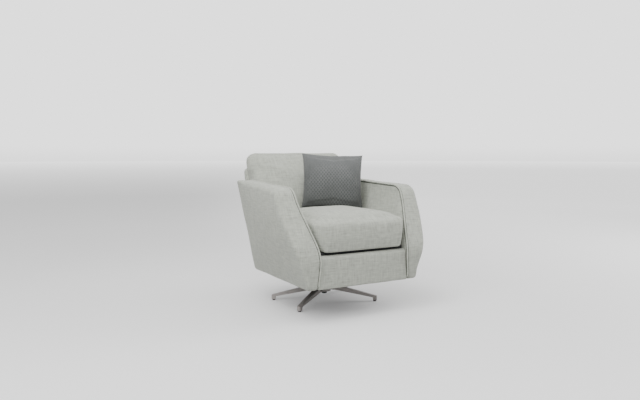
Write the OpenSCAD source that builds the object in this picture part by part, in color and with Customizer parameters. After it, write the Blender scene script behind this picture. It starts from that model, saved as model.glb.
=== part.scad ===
// Swivel armchair on a flat four-legged star base.
// Millimetres, +Z up, front towards -Y, origin on the swivel axis at the floor.

/* [Body] */
// Height of the upholstered body's underside above the floor
body_z = 160; // [150:1:175]
// Distance from the swivel axis forward to the arms' lower front corner
arm_front = 397; // [382:1:402]
// How far the arm's knee stands ahead of its lower front corner
knee_out = 13; // [8:1:20]
// Height of the knee above the underside
knee_rise = 162; // [140:1:185]
// How far the arm's upper front corner is set back from the knee
shoulder_back = 166; // [150:1:190]
// Height of the arm top at its front corner
shoulder_z = 634; // [615:1:650]
// Height of the arm top at its rear end
arm_rear_z = 657; // [640:1:665]
// Distance from the swivel axis back to the arm's rear edge at the underside
arm_back = 261; // [252:1:268]
// How far the arm's rear edge leans back over its height
arm_lean = 24; // [12:1:30]

/* [Arm section] */
// Half width between the arms at the underside
in_foot = 262; // [256:1:268]
// Half width between the arms at the waist, beside the seat
in_waist = 253; // [248:1:256]
// Height of the waist above the underside
waist_rise = 130; // [115:1:145]
// Half width between the arms at their top
in_top = 320; // [312:1:326]
// Half width over the arms at the underside
out_foot = 315; // [311:1:322]
// Half width over the arms at their top
out_top = 422; // [408:1:426]
// Half width over the arms at the rear end of their top, before the sides turn in
out_rear_top = 412; // [400:1:418]
// Radius of the soft outer edge of an arm
arm_edge_r = 25; // [18:1:30]
// How far each arm's side turns in towards the back, per unit of depth
toe = 0.03; // [0.02:0.001:0.04]

/* [Upholstery] */
// Radius of the piping cord
piping_r = 3; // [2:0.25:3.5]
// Thickness of the front border panel
border_t = 35; // [28:1:40]
// Height of the front border's top above the underside
border_h = 166; // [150:1:175]
// Radius of the front border's soft top edge
border_r = 22; // [14:1:26]
// Height of the seat deck above the underside
deck_h = 171.7; // [165:0.1:180]
// Thickness of the seat deck's felt and cloth
deck_t = 20; // [14:1:22]
// Thickness of the seat cushion at its edge
seat_t = 140; // [128:1:146]
// Rise of the seat cushion's crown over its edge
seat_crown = 46; // [26:1:52]
// Gap between the seat cushion and each arm
seat_gap = 7; // [5:1:11]
// Thickness of the back cushion at its edge
cushion_t = 131; // [115:1:138]
// Rise of the back cushion's crown over its edge
cushion_crown = 30; // [15:1:36]
// Height of the back cushion's top above the floor
cushion_top = 798; // [780:1:812]
// Gap between the back cushion and each arm
cushion_gap = 6; // [4:1:9]
// Radius of the back cushion's upper corners
cushion_r = 46; // [38:1:60]
// Width of the scatter cushion
scatter_w = 349; // [335:1:365]
// Height of the scatter cushion
scatter_h = 313; // [300:1:330]
// Thickness of the scatter cushion
scatter_t = 118; // [90:1:125]

/* [Back] */
// Angle at which the back leans from the vertical
rake = 15.5; // [13:0.5:17]
// Distance from the swivel axis back to the outside back at the underside
back_foot = 253; // [246:1:258]
// Thickness of the whole back rest with its padding
back_t = 40; // [38:1:46]
// Length of the back rest along its lean
back_len = 577; // [555:1:590]
// Radius of the back rest's upper corners
back_r = 24; // [16:1:40]
// Thickness of the outside back panel
panel_t = 8; // [6:0.5:9]

/* [Frame] */
// Thickness of the frame's timber
timber_t = 22; // [18:1:24]
// Height of the seat frame's rails
rail_h = 140; // [120:1:145]
// Thickness of the plywood panel in each arm
arm_ply_t = 18; // [15:1:20]
// Thickness of the two bearers that carry the swivel plate
bearer_t = 30; // [25:1:35]
// Width of each bearer
bearer_w = 66; // [56:1:72]
// Width of a back post
post_w = 45; // [38:1:50]
// Thickness of the dust cover
dust_t = 1.2; // [1:0.1:2]
// Wire radius of the zig-zag springs
spring_r = 1.8; // [1.5:0.1:2]
// Number of half waves in each spring
spring_waves = 11; // [9:2:13]
// Width of each spring over its bends
spring_w = 60; // [56:1:66]

/* [Base] */
// Distance from the swivel axis to the end of each leg
leg_reach = 288; // [270:1:300]
// Angle of the legs from the chair's width
leg_angle = 32.7; // [31:0.1:35]
// Width of a leg at the hub
leg_root_w = 40; // [34:1:44]
// Width of a leg at its end
leg_tip_w = 20; // [19:1:24]
// Height of the legs' top at the swivel axis
leg_crest_z = 104; // [98:1:108]
// Height of a leg's top at its end
leg_tip_z = 29; // [26:1:32]
// Depth of a leg at the swivel axis
leg_root_h = 28; // [25:1:32]
// Depth of a leg where it meets its foot
leg_tip_h = 13; // [11:1:16]
// Reach of the hub casting's four stubs
stub_reach = 86; // [80:1:92]
// Radius of the hub's boss
boss_r = 36; // [33:1:38]
// Radius of the spindle
spindle_r = 15; // [14:0.5:16]
// Side of the square swivel plate
plate_w = 176; // [168:1:184]
// Thickness of the swivel plate
plate_t = 5; // [4:0.5:6]
// Distance between the plate's bolts
plate_pitch = 138; // [134:1:142]
// Height of a foot glide
glide_h = 6; // [5:0.5:8]
// Number of balls in the swivel bearing
ball_count = 14; // [10:1:16]

/* [Hidden] */

fabric_tone = "#bbbdb8";
scatter_tone = "#727372";
steel_tone = "#8f8b89";
dark_steel_tone = "#5a5a5c";
timber_tone = "#c9a777";
ply_tone = "#d2b48c";
nylon_tone = "#e8e6df";

// Small gaps between pieces that lie against each other
seat_clear = 0.3;
joint_clear = 0.5;
run_clear = 0.05;
hole_clear = 0.2;

// Arms

knee_y = -arm_front - knee_out;
shoulder_y = knee_y + shoulder_back;
in_flare_z = 625;
out_flare_z = 600;
arm_outline = [[arm_back, body_z], [arm_back + arm_lean, arm_rear_z], [shoulder_y, shoulder_z],
    [knee_y, body_z + knee_rise], [-arm_front, body_z]];
arm_corner_r = [24, 16, 44, 190, 20];
arm_arcs = [4, 4, 6, 8, 4];
arm_steps = [5, 4, 4, 1, 5];
arm_middle = [-40, 400];
arm_bulge = 4;
foot_softness = 0.3;
foot_firm = 5;
foot_blend = 60;
rear_blend = 60;
rear_softness = 0.5;
notch = 7;

function ease(t) = let (c = max(0, min(1, t))) c * c * (3 - 2 * c);
function unit(v) = v / norm(v);
function inward(v) = [-v[1], v[0]];

function arm_in(z) = z < body_z + waist_rise
    ? in_foot - (in_foot - in_waist) * ease((z - body_z) / waist_rise)
    : in_waist + (in_top - in_waist) * ease((z - body_z - waist_rise)
        / (in_flare_z - body_z - waist_rise));
function arm_out(z) = out_foot + (out_top - out_foot)
    * pow(sin(90 * max(0, min(1, (z - body_z) / (out_flare_z - body_z)))), 1.08);
function toed(x, y) = x - toe * (y + arm_front);
function inside(y, z) = toed(arm_in(z), y);

// The outer face bulges in front and flattens towards a straight rear edge
function rear_out(z) = out_foot + (out_rear_top - out_foot) * (z - body_z) / (arm_rear_z - body_z);
function outside(y, z) =
    let (t = pow(max(0, min(1, (y - shoulder_y) / (arm_back - shoulder_y))), 1.3))
    toed(arm_out(z) + (rear_out(z) - arm_out(z)) * t, y);

// A corner of a convex outline, moved inwards by d
function inset_corner(pts, i, d) =
    let (n = len(pts),
        a = inward(unit(pts[i] - pts[(i + n - 1) % n])),
        b = inward(unit(pts[(i + 1) % n] - pts[i])))
    pts[i] + d * (a + b) / (1 + a * b);

// Points of a rounded convex outline, inset by d: an arc at each corner,
// then evenly spaced points along the side that follows it
function corner_arc(pts, radii, arcs, i, d) =
    let (n = len(pts),
        a = inward(unit(pts[i] - pts[(i + n - 1) % n])),
        b = inward(unit(pts[(i + 1) % n] - pts[i])),
        r = max(radii[i] - d, 2),
        centre = inset_corner(pts, i, d + r),
        start = atan2(-a[1], -a[0]),
        turn = acos(max(-1, min(1, a * b))))
    [for (k = [0 : arcs[i]]) let (t = start + turn * k / arcs[i]) centre + r * [cos(t), sin(t)]];
function outline(pts, radii, arcs, steps, d = 0) =
    let (n = len(pts), turns = [for (i = [0 : n - 1]) corner_arc(pts, radii, arcs, i, d)])
    [for (i = [0 : n - 1]) each concat(turns[i],
        [for (k = [1 : steps[i] - 1])
            let (p = turns[i][arcs[i]], q = turns[(i + 1) % n][0]) p + (q - p) * k / steps[i]])];
function shrink(pts, centre, f) = [for (p = pts) centre + (p - centre) * f];

// Closed solid through rings of equal length, with a middle point at each end
module loft(rings, first, last) {
    n = len(rings[0]);
    m = len(rings);
    polyhedron(
        concat([for (r = rings) each r], [first, last]),
        concat(
            [for (j = [0 : m - 2], i = [0 : n - 1]) [j * n + i, (j + 1) * n + (i + 1) % n, j * n + (i + 1) % n]],
            [for (j = [0 : m - 2], i = [0 : n - 1]) [j * n + i, (j + 1) * n + i, (j + 1) * n + (i + 1) % n]],
            [for (i = [0 : n - 1]) [n * m, i, (i + 1) % n]],
            [for (i = [0 : n - 1]) [n * m + 1, (m - 1) * n + (i + 1) % n, (m - 1) * n + i]]));
}

module both_sides() {
    children();
    mirror([1, 0, 0]) children();
}

function arm_points(d) = outline(arm_outline, arm_corner_r, arm_arcs, arm_steps, d);
function inner_point(p, e) = [toed(arm_in(p[1]) + e, p[0]), p[0], p[1]];
function outer_point(p, e) = [outside(p[0], p[1]) - e, p[0], p[1]];
function inner_ring(d, f, e) = [for (p = shrink(arm_points(d), arm_middle, f)) inner_point(p, e)];

// The outer edge is soft in front and on top, and tighter underneath and behind
function softness(p) = min(foot_softness + (1 - foot_softness) * ease((p[1] - body_z - foot_firm) / foot_blend),
    1 - (1 - rear_softness) * ease((p[0] - arm_back + rear_blend) / rear_blend));
function outer_ring(d, f, e) =
    let (edge = arm_points(0), in = arm_points(d))
    [for (i = [0 : len(edge) - 1])
        let (soft = softness(edge[i]), p = edge[i] + (in[i] - edge[i]) * soft)
        outer_point(arm_middle + (p - arm_middle) * f, e > 0 ? e * soft : e)];

// The arm's padded form: a flat inner face, a notch for the piping, the front
// and top band, a soft outer edge and a slightly full outer face
module arm_form() {
    loft(
        concat(
            [for (f = [0.35, 0.7, 1]) inner_ring(notch, f, 0)],
            [inner_ring(notch * 0.8, 1, notch * 0.17), inner_ring(notch * 0.63, 1, notch * 0.63),
                inner_ring(notch * 0.17, 1, notch * 0.8), inner_ring(0, 1, notch)],
            [for (a = [0 : 18 : 90]) outer_ring(arm_edge_r * (1 - cos(a)), 1, arm_edge_r * (1 - sin(a)))],
            [for (f = [0.7, 0.35]) outer_ring(arm_edge_r, f, -arm_bulge * (1 - f * f))]),
        inner_point(arm_middle, 0), outer_point(arm_middle, -arm_bulge));
}

// Plywood panel inside the arm
ply_inset = 34;
ply_foot_x = (arm_in(body_z + ply_inset) + arm_out(body_z + ply_inset)) / 2;
ply_head_x = (arm_in(shoulder_z - ply_inset) + arm_out(shoulder_z - ply_inset)) / 2;
splay = atan((ply_head_x - ply_foot_x) / (shoulder_z - body_z - 2 * ply_inset));
ply_outline = [for (i = [0 : 4]) inset_corner(arm_outline, i, ply_inset)
    - [-arm_front, body_z + ply_inset]];

module arm_ply() {
    translate([ply_foot_x, -arm_front, body_z + ply_inset])
        rotate([0, 0, atan(toe)])
            rotate([0, splay, 0])
                translate([-arm_ply_t / 2, 0, 0])
                    rotate([90, 0, 90])
                        linear_extrude(arm_ply_t) polygon(ply_outline);
}

// Bolts through the side rail into the arm's panel
arm_bolt_r = 4;
arm_bolt_head_r = 7.5;
arm_bolt_head_h = 5.5;
arm_bolt_rise = 78;
arm_bolt_z = body_z + arm_bolt_rise;
arm_bolt_ys = [-250, -20, 135];
arm_bolt_tip = 1;
head_lap = 0.01;
bolt_fit = 0.05;

// Square to the inner face of the side rail, which turns in towards the back
module along_arm_bolt(y) {
    translate([rail_in(y), y, arm_bolt_z]) rotate([0, 0, atan(toe)]) rotate([0, 90, 0]) children();
}
module arm_bolt_holes(r) {
    for (y = arm_bolt_ys)
        along_arm_bolt(y) translate([0, 0, -timber_t])
            cylinder(r = r, h = arm_bolt_length(y) + timber_t, $fn = 40);
}
function arm_bolt_length(y) = toed(ply_foot_x, y) + arm_ply_t / 2 + arm_bolt_tip - rail_in(y)
    + (arm_bolt_z - body_z - ply_inset) * tan(splay);

module right_arm_shape() {
    difference() {
        arm_form();
        arm_ply();
        arm_bolt_holes(arm_bolt_r + hole_clear);
    }
}
module arm_panel_shape() {
    difference() {
        arm_ply();
        arm_bolt_holes(arm_bolt_r + bolt_fit);
    }
}
module left_arm() { color(fabric_tone) mirror([1, 0, 0]) right_arm_shape(); }
module right_arm() { color(fabric_tone) right_arm_shape(); }
module left_arm_panel() { color(ply_tone) mirror([1, 0, 0]) arm_panel_shape(); }
module right_arm_panel() { color(ply_tone) arm_panel_shape(); }

module arm_bolts() {
    color(steel_tone) both_sides() for (y = arm_bolt_ys)
        along_arm_bolt(y) {
            cylinder(r = arm_bolt_r, h = arm_bolt_length(y), $fn = 40);
            translate([0, 0, -arm_bolt_head_h]) cylinder(r = arm_bolt_head_r, h = arm_bolt_head_h + head_lap, $fn = 6);
        }
}

// Piping along the arm's inner edge, from the rear of its top round to its foot
piping_seat = notch * 0.26;
piping_first = arm_arcs[0] + arm_steps[0] + 2;
piping_last = piping_first + arm_arcs[1] + arm_steps[1] + arm_arcs[2] + arm_steps[2]
    + arm_arcs[3] + arm_steps[3] - 1;
piping_sides = 8;

module piping_shape() {
    path = arm_points(piping_seat);
    ahead = arm_points(piping_seat - 2);
    middles = [for (i = [piping_first : piping_last])
        inner_point(path[i], piping_seat)];
    rings = [for (i = [piping_first : piping_last])
        let (out = unit(ahead[i] - path[i]), c = middles[i - piping_first])
        [for (k = [0 : piping_sides - 1])
            let (a = 360 * k / piping_sides)
            c + piping_r * [-sin(a), cos(a) * out[0], cos(a) * out[1]]]];
    loft(rings, middles[0], middles[len(middles) - 1]);
}
module left_arm_piping() { color(fabric_tone) mirror([1, 0, 0]) piping_shape(); }
module right_arm_piping() { color(fabric_tone) piping_shape(); }

// Seat frame

frame_z = body_z + plate_t;
border_back_y = -arm_front + border_t;
rear_rail_y = 200;
rail_end = back_y(frame_z + rail_h, -panel_t);
rail_foot_end = back_y(frame_z, -panel_t) - joint_clear;
function rail_out(y) = toed(in_waist - joint_clear, y);
function rail_in(y) = rail_out(y) - timber_t;
function across(y) = [[-rail_in(y), y], [rail_in(y), y]];

module side_rail_shape() {
    difference() {
        translate([0, 0, frame_z]) linear_extrude(rail_h)
            polygon([[rail_in(border_back_y), border_back_y], [rail_out(border_back_y), border_back_y],
                [rail_out(rail_end), rail_end], [rail_in(rail_end), rail_end]]);
        leaning() translate([0, -panel_t - seat_clear, -rail_h]) cube([in_foot, rail_h, 3 * rail_h]);
        arm_bolt_holes(arm_bolt_r + hole_clear);
        post_bolt_holes(post_bolt_r + hole_clear);
        back_wrap(wrap_t + seat_clear, wrap_d + seat_clear, wrap_over);
    }
}
module left_side_rail() { color(timber_tone) mirror([1, 0, 0]) side_rail_shape(); }
module right_side_rail() { color(timber_tone) side_rail_shape(); }

// A timber that spans from one side rail to the other, between two depths
module cross_timber(y0, y1, z0, h) {
    translate([0, 0, z0]) linear_extrude(h)
        polygon(concat(across(y0), [across(y1)[1], across(y1)[0]]));
}
module front_rail() {
    color(timber_tone) cross_timber(border_back_y, border_back_y + timber_t, frame_z, rail_h);
}
module rear_rail() {
    color(timber_tone) cross_timber(rear_rail_y, rear_rail_y + timber_t, frame_z, rail_h);
}

bolt_r = 4;
bolt_head_r = 7.5;
bolt_head_h = 5;
bolt_grip = 24;
module at_plate_bolts() {
    for (x = [-1, 1], y = [-1, 1])
        translate([x * plate_pitch / 2, y * plate_pitch / 2, body_z]) children();
}
module bearer_shape(side) {
    difference() {
        cross_timber(side * plate_pitch / 2 - bearer_w / 2, side * plate_pitch / 2 + bearer_w / 2,
            frame_z, bearer_t);
        at_plate_bolts() cylinder(r = bolt_r, h = plate_t + bolt_grip, $fn = 40);
    }
}
module front_bearer() { color(timber_tone) bearer_shape(-1); }
module rear_bearer() { color(timber_tone) bearer_shape(1); }

block_leg = 50;
block_h = 70;
block_rise = 36;
module corner_blocks() {
    color(timber_tone) both_sides() translate([0, 0, frame_z + block_rise]) linear_extrude(block_h) {
        front_y = border_back_y + timber_t;
        polygon([[rail_in(front_y), front_y], [rail_in(front_y + block_leg), front_y + block_leg],
            [rail_in(front_y) - block_leg, front_y]]);
        polygon([[rail_in(rear_rail_y), rear_rail_y], [rail_in(rear_rail_y) - block_leg, rear_rail_y],
            [rail_in(rear_rail_y - block_leg), rear_rail_y - block_leg]]);
    }
}

// Zig-zag springs from the front rail to the rear rail, held by clips
spring_xs = [-141, -47, 47, 141];
spring_lift = 1.2;
spring_z = frame_z + rail_h + spring_r + spring_lift;
spring_start = border_back_y + timber_t / 2;
spring_end = rear_rail_y + timber_t / 2;
spring_pitch = (spring_end - spring_start) / spring_waves;
spring_reach = spring_w / 2 - spring_r - spring_pitch / 2;
bend_swell = 0.05;
bend_lap = 0.05;
clip_l = 18;
clip_w = 12;
clip_fit = 0.1;
tail_l = clip_l + 1;

// Side of each bend, from the front: bars 0 and spring_waves end in a tail on the other side
function bend_side(i) = i % 2 == 0 ? 1 : -1;

// Bend side and depth of the first and the last bar
spring_ends = [[bend_side(0), spring_start], [bend_side(spring_waves - 1), spring_end]];

module spring_bend() {
    rotate_extrude(angle = 180, $fn = 32) translate([spring_pitch / 2, 0]) circle(r = spring_r + bend_swell, $fn = 20);
}
module spring() {
    for (i = [0 : spring_waves])
        translate([-spring_reach - bend_lap, spring_start + i * spring_pitch, spring_z])
            rotate([0, 90, 0]) cylinder(r = spring_r, h = 2 * (spring_reach + bend_lap), $fn = 20);
    for (i = [0 : spring_waves - 1])
        translate([bend_side(i) * spring_reach, spring_start + (i + 0.5) * spring_pitch, spring_z])
            rotate([0, 0, -90 * bend_side(i)]) spring_bend();
    for (end = spring_ends)
        translate([end[0] * spring_reach, end[1], spring_z])
            rotate([0, -90 * end[0], 0]) cylinder(r = spring_r, h = tail_l, $fn = 20);
}
module seat_springs() {
    color(dark_steel_tone) for (x = spring_xs) translate([x, 0, 0]) spring();
}
module spring_clip() {
    difference() {
        translate([-clip_l / 2, -clip_w / 2, frame_z + rail_h])
            cube([clip_l, clip_w, 2 * (spring_r + spring_lift)]);
        translate([-clip_l, 0, spring_z]) rotate([0, 90, 0])
            cylinder(r = spring_r + clip_fit, h = 2 * clip_l, $fn = 20);
    }
}
module spring_clips() {
    color(nylon_tone) for (x = spring_xs, end = spring_ends)
        translate([x + end[0] * (spring_reach - clip_l / 2), end[1], 0]) spring_clip();
}

deck_top = body_z + deck_h;
deck_z = deck_top - deck_t;
deck_setback = 6;
deck_front = border_back_y + deck_setback;
module seat_deck() {
    deck_rear = back_y(deck_z, -back_t) - joint_clear;
    color("#3a3a3c") difference() {
        translate([0, 0, deck_z]) linear_extrude(deck_t)
            polygon([[-inside(deck_front, deck_z) + joint_clear, deck_front],
                [inside(deck_front, deck_z) - joint_clear, deck_front],
                [inside(deck_rear, deck_z) - joint_clear, deck_rear],
                [-inside(deck_rear, deck_z) + joint_clear, deck_rear]]);
        both_sides() back_wrap(wrap_t + seat_clear, wrap_d + seat_clear, wrap_over);
    }
}
dust_gap = 2;
module dust_cover() {
    color("#2b2b2d") difference() {
        translate([0, 0, frame_z - dust_t]) linear_extrude(dust_t)
            polygon([[-rail_out(border_back_y), border_back_y], [rail_out(border_back_y), border_back_y],
                [rail_out(rail_foot_end), rail_foot_end], [-rail_out(rail_foot_end), rail_foot_end]]);
        translate([-plate_w / 2 - dust_gap, -plate_w / 2 - dust_gap, frame_z - 2 * dust_t])
            cube([plate_w + 2 * dust_gap, plate_w + 2 * dust_gap, 3 * dust_t]);
    }
}

// Front border

border_top = body_z + border_h;
border_foot_r = 8;
border_gap = 1.5;
border_set = 2;
border_levels = 8;
module front_border() {
    levels = [for (i = [0 : border_levels]) body_z + border_h * i / border_levels];
    color(fabric_tone) intersection() {
        translate([-in_foot, 0, 0]) rotate([90, 0, 90]) linear_extrude(2 * in_foot)
            difference() {
                translate([border_back_y - border_t + border_set, body_z]) square([border_t - border_set, border_h]);
                border_corner(border_top, border_r, 1);
                border_corner(body_z, border_foot_r, -1);
            }
        rotate([90, 0, 0]) linear_extrude(arm_front)
            polygon(concat(
                [for (z = levels) [inside(border_back_y, z) - border_gap, z]],
                [for (i = [border_levels : -1 : 0]) [-inside(border_back_y, levels[i]) + border_gap, levels[i]]]));
    }
}
module border_corner(z, r, up) {
    y = border_back_y - border_t + border_set;
    difference() {
        translate([y - 1, up > 0 ? z - r : z - 1]) square([r + 1, r + 1]);
        translate([y + r, z - up * r]) circle(r = r, $fn = 48);
    }
}

// Back rest, in a frame that leans back with it: y runs from its outside face
// forwards as a negative number, z along the lean

function back_y(z, y) = back_foot + (z - body_z) * tan(rake) + y / cos(rake);
function lean_z(s, y) = body_z + s * cos(rake) - y * sin(rake);
function back_half(s) = inside(back_y(lean_z(s, 0), 0), lean_z(s, 0));
module leaning() {
    translate([0, back_foot, body_z]) rotate([-rake, 0, 0]) children();
}
function leaning_point(p) = [p[0],
    back_foot + p[1] * cos(rake) + p[2] * sin(rake),
    body_z - p[1] * sin(rake) + p[2] * cos(rake)];

// Outline of the back between the arms, from a given height along the lean upwards
back_levels = 16;
function back_corner(a) = let (s = back_len - back_r * (1 - sin(a)))
    [back_half(s) - joint_clear - back_r * (1 - cos(a)), s];
function back_side(foot) = [for (i = [0 : back_levels])
    let (s = foot + (back_len - back_r - foot) * i / back_levels) [back_half(s) - joint_clear, s]];
function back_outline(foot) =
    let (half = concat(back_side(foot), [for (a = [15 : 15 : 90]) back_corner(a)]))
    concat(half, [for (i = [len(half) - 1 : -1 : 0]) [-half[i][0], half[i][1]]]);

rest_foot = 162;
rest_edge_r = 14;
post_t = timber_t;
post_x = rail_in(rail_end) - joint_clear;
top_rail_half = 262;
top_rail_h = 60;
rest_wall = 16;
strap_t = 1.5;
frame_front = -panel_t - post_t;
top_rail_s = back_len - rest_wall - top_rail_h;

module back_rest() {
    pocket_t = post_t + 2 * strap_t + joint_clear;
    color(fabric_tone) leaning() difference() {
        translate([0, -panel_t, 0]) rotate([90, 0, 0]) linear_extrude(back_t - panel_t)
            polygon(back_outline(rest_foot));
        translate([-in_top, -back_t, back_len]) rotate([90, 0, 90]) linear_extrude(2 * in_top)
            difference() {
                translate([-1, -rest_edge_r]) square([rest_edge_r + 1, rest_edge_r + 1]);
                translate([rest_edge_r, -rest_edge_r]) circle(r = rest_edge_r, $fn = 48);
            }
        translate([0, -panel_t + 1, 0]) rotate([90, 0, 0]) linear_extrude(pocket_t + 1)
            polygon([[-post_x, rest_foot - 10], [post_x, rest_foot - 10],
                [post_x, top_rail_s], [top_rail_half, top_rail_s], [top_rail_half, back_len - rest_wall],
                [-top_rail_half, back_len - rest_wall], [-top_rail_half, top_rail_s], [-post_x, top_rail_s]]);
    }
}

post_foot = 8;
post_bolt_r = 4;
post_bolt_low = 50;
post_bolt_high = 95;
post_bolt_zs = [body_z + post_bolt_low, body_z + post_bolt_high];
module post_bolt_holes(r) {
    for (z = post_bolt_zs)
        translate([post_x - post_w, back_y(z, -panel_t - post_t / 2), z])
            rotate([0, 90, 0]) cylinder(r = r, h = post_w + 2 * timber_t, $fn = 40);
}
module back_post_shape() {
    difference() {
        leaning() translate([post_x - post_w, frame_front, post_foot])
            cube([post_w, post_t, top_rail_s - post_foot]);
        post_bolt_holes(post_bolt_r + bolt_fit);
    }
}
module left_back_post() { color(timber_tone) mirror([1, 0, 0]) back_post_shape(); }
module right_back_post() { color(timber_tone) back_post_shape(); }
post_bolt_head_r = 7;
post_bolt_head_h = 4;
module back_bolts() {
    color(steel_tone) both_sides() for (z = post_bolt_zs) {
        y = back_y(z, -panel_t - post_t / 2);
        translate([post_x - post_w, y, z]) rotate([0, 90, 0]) {
            cylinder(r = post_bolt_r, h = post_w + timber_t - wrap_t - seat_clear, $fn = 40);
            translate([0, 0, -post_bolt_head_h]) cylinder(r = post_bolt_head_r, h = post_bolt_head_h + head_lap, $fn = 6);
        }
    }
}

module back_top_rail() {
    color(timber_tone) leaning() translate([-top_rail_half, frame_front, top_rail_s])
        cube([2 * top_rail_half, post_t, top_rail_h]);
}
lumbar_s = 190;
lumbar_h = 60;
module back_lumbar_rail() {
    color(timber_tone) leaning() translate([-post_x + post_w, frame_front, lumbar_s])
        cube([2 * (post_x - post_w), post_t, lumbar_h]);
}
strap_w = 50;
strap_xs = [-100, 0, 100];
strap_lap = 25;
strap_rises = [60, 150];
strap_margin = 4;
module back_webbing() {
    color("#3d3f42") leaning() {
        for (x = strap_xs)
            translate([x - strap_w / 2, frame_front - strap_t, lumbar_s + lumbar_h - strap_lap])
                cube([strap_w, strap_t, top_rail_s - lumbar_s - lumbar_h + 2 * strap_lap]);
        for (rise = strap_rises)
            translate([-post_x + strap_margin, frame_front - 2 * strap_t, lumbar_s + lumbar_h + rise])
                cube([2 * (post_x - strap_margin), strap_t, strap_w]);
    }
}

// Side wraps of the outside back: they close the gap behind the arms, over the ends of the side rails
wrap_t = 3;
wrap_d = 40;
wrap_lap = 1;
wrap_over = 2;
wrap_head = rest_foot - seat_clear;
function wrap_side(t) = concat(
    [for (p = back_side(0)) if (p[1] < wrap_head) [p[0] - t, p[1]]],
    [[back_half(wrap_head) - joint_clear - t, wrap_head]]);
function reversed(v) = [for (i = [len(v) - 1 : -1 : 0]) v[i]];
module back_wrap(t, d, out) {
    leaning() translate([0, wrap_lap - panel_t, 0]) rotate([90, 0, 0]) linear_extrude(d + wrap_lap)
        polygon(concat(wrap_side(-out), reversed(wrap_side(t))));
}
module outside_back() {
    color(fabric_tone) {
        leaning() rotate([90, 0, 0]) linear_extrude(panel_t) polygon(back_outline(0));
        both_sides() back_wrap(wrap_t, wrap_d, 0);
    }
}

// Back cushion

cushion_rear = -back_t - joint_clear;
cushion_front = cushion_rear - cushion_t;
cushion_nod = 60;
cushion_nod_from = 360;
cushion_overhang = 28;
cushion_lip_from = 33;
cushion_lip_run = 40;
cushion_foot = (deck_top + seat_clear - body_z + cushion_rear * sin(rake)) / cos(rake);
cushion_head = (cushion_top - body_z
    + (cushion_rear + cushion_front + cushion_nod + cushion_overhang) / 2 * sin(rake)) / cos(rake);
cushion_ref = 300;
cushion_middle = [0, (cushion_foot + cushion_head) / 2 + 20];
cushion_swell = 4;
function cushion_outline(d) = outline(
    [[-cushion_ref, cushion_foot], [cushion_ref, cushion_foot],
        [cushion_ref, cushion_head], [-cushion_ref, cushion_head]],
    [14, 14, cushion_r, cushion_r], [3, 3, 7, 7], [6, 7, 6, 7], d);
// The underside stays level while the rest leans
function levelled(p, y) = p[1] + (y - cushion_rear) * tan(rake)
    * (1 - ease((p[1] - cushion_foot) / 200));
// The upper part of the cushion sinks back over the top of the back rest
function settled(s, y) =
    let (t = max(0, min(1, (cushion_rear - y) / cushion_t)))
    y + t * cushion_nod * ease((s - cushion_nod_from) / (cushion_head - cushion_nod_from))
        + (1 - t) * cushion_overhang * ease((s - back_len - cushion_lip_from) / cushion_lip_run);
function cushion_ring(d, f, y) =
    [for (p = shrink(cushion_outline(d), cushion_middle, f))
        let (s = levelled([p[0], max(p[1], cushion_foot)], y))
        leaning_point([p[0] / cushion_ref * (back_half(s) - cushion_gap), settled(s, y), s])];
function front_crown(f) = cushion_crown * (1 - f * f);

module back_cushion() {
    color(fabric_tone) loft(
        concat(
            [for (f = [0.4, 0.7]) cushion_ring(12, f, cushion_rear)],
            [cushion_ring(12, 1, cushion_rear), cushion_ring(3, 1, cushion_rear - 4),
                cushion_ring(0, 1, cushion_rear - 14)],
            [cushion_ring(-cushion_swell, 1, (cushion_rear + cushion_front) / 2)],
            [cushion_ring(0, 1, cushion_front + 24), cushion_ring(5, 1, cushion_front + 10),
                cushion_ring(20, 1, cushion_front)],
            [for (f = [0.85, 0.65, 0.4, 0.2])
                cushion_ring(20, f, cushion_front - front_crown(f))]),
        leaning_point([0, cushion_rear, cushion_middle[1]]),
        leaning_point([0, cushion_front - cushion_crown, cushion_middle[1]]));
}

// Seat cushion

seat_z = deck_top + seat_clear;
seat_edge_z = seat_z + seat_t;
seat_front = -arm_front - 2;
seat_rear_gap = 3;
seat_rear_full = 0.55;
seat_rear = back_y(seat_z, cushion_front) - seat_rear_gap - cushion_crown * seat_rear_full;
seat_ref = 250;
seat_middle = [0, (seat_front + seat_rear) / 2];
seat_swell = 3;
function seat_outline(d) = outline(
    [[-seat_ref, seat_front], [seat_ref, seat_front], [seat_ref, seat_rear], [-seat_ref, seat_rear]],
    [42, 42, 24, 24], [5, 5, 4, 4], [6, 6, 6, 6], d);
// The rear face leans with the back cushion
function seat_y(y, z) = y + tan(rake) * (z - seat_z) * (y - seat_front) / (seat_rear - seat_front);
// The sides stand more upright than the arms beside them
seat_follow = 0.7;
function seat_half(y, z) = toed(in_waist + seat_follow * (arm_in(z) - in_waist), y) - seat_gap;
function seat_ring(d, f, z, crown = 0) =
    [for (p = shrink(seat_outline(d), seat_middle, f))
        let (y = seat_y(p[1], z), u = p[0] / seat_ref)
        [u * seat_half(y, z), y, z + crown * (1 - pow(abs(u), 4.4))]];

module seat_cushion() {
    color(fabric_tone) loft(
        concat(
            [for (f = [0.45, 0.8]) seat_ring(12, f, seat_z)],
            [seat_ring(12, 1, seat_z), seat_ring(3, 1, seat_z + 4), seat_ring(0, 1, seat_z + 12)],
            [seat_ring(-seat_swell, 1, seat_z + seat_t * 0.45)],
            [seat_ring(0, 1, seat_edge_z - 34), seat_ring(8, 1, seat_edge_z - 14),
                seat_ring(26, 1, seat_edge_z)],
            [for (f = [0.9, 0.72, 0.48, 0.24])
                seat_ring(26, f, seat_edge_z, seat_crown * (1 - pow(f, 3.2)))]),
        [0, seat_middle[1], seat_z], [0, seat_y(seat_middle[1], seat_edge_z), seat_edge_z + seat_crown]);
}

// Scatter cushion, turned towards the left and leaning on the back cushion

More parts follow.
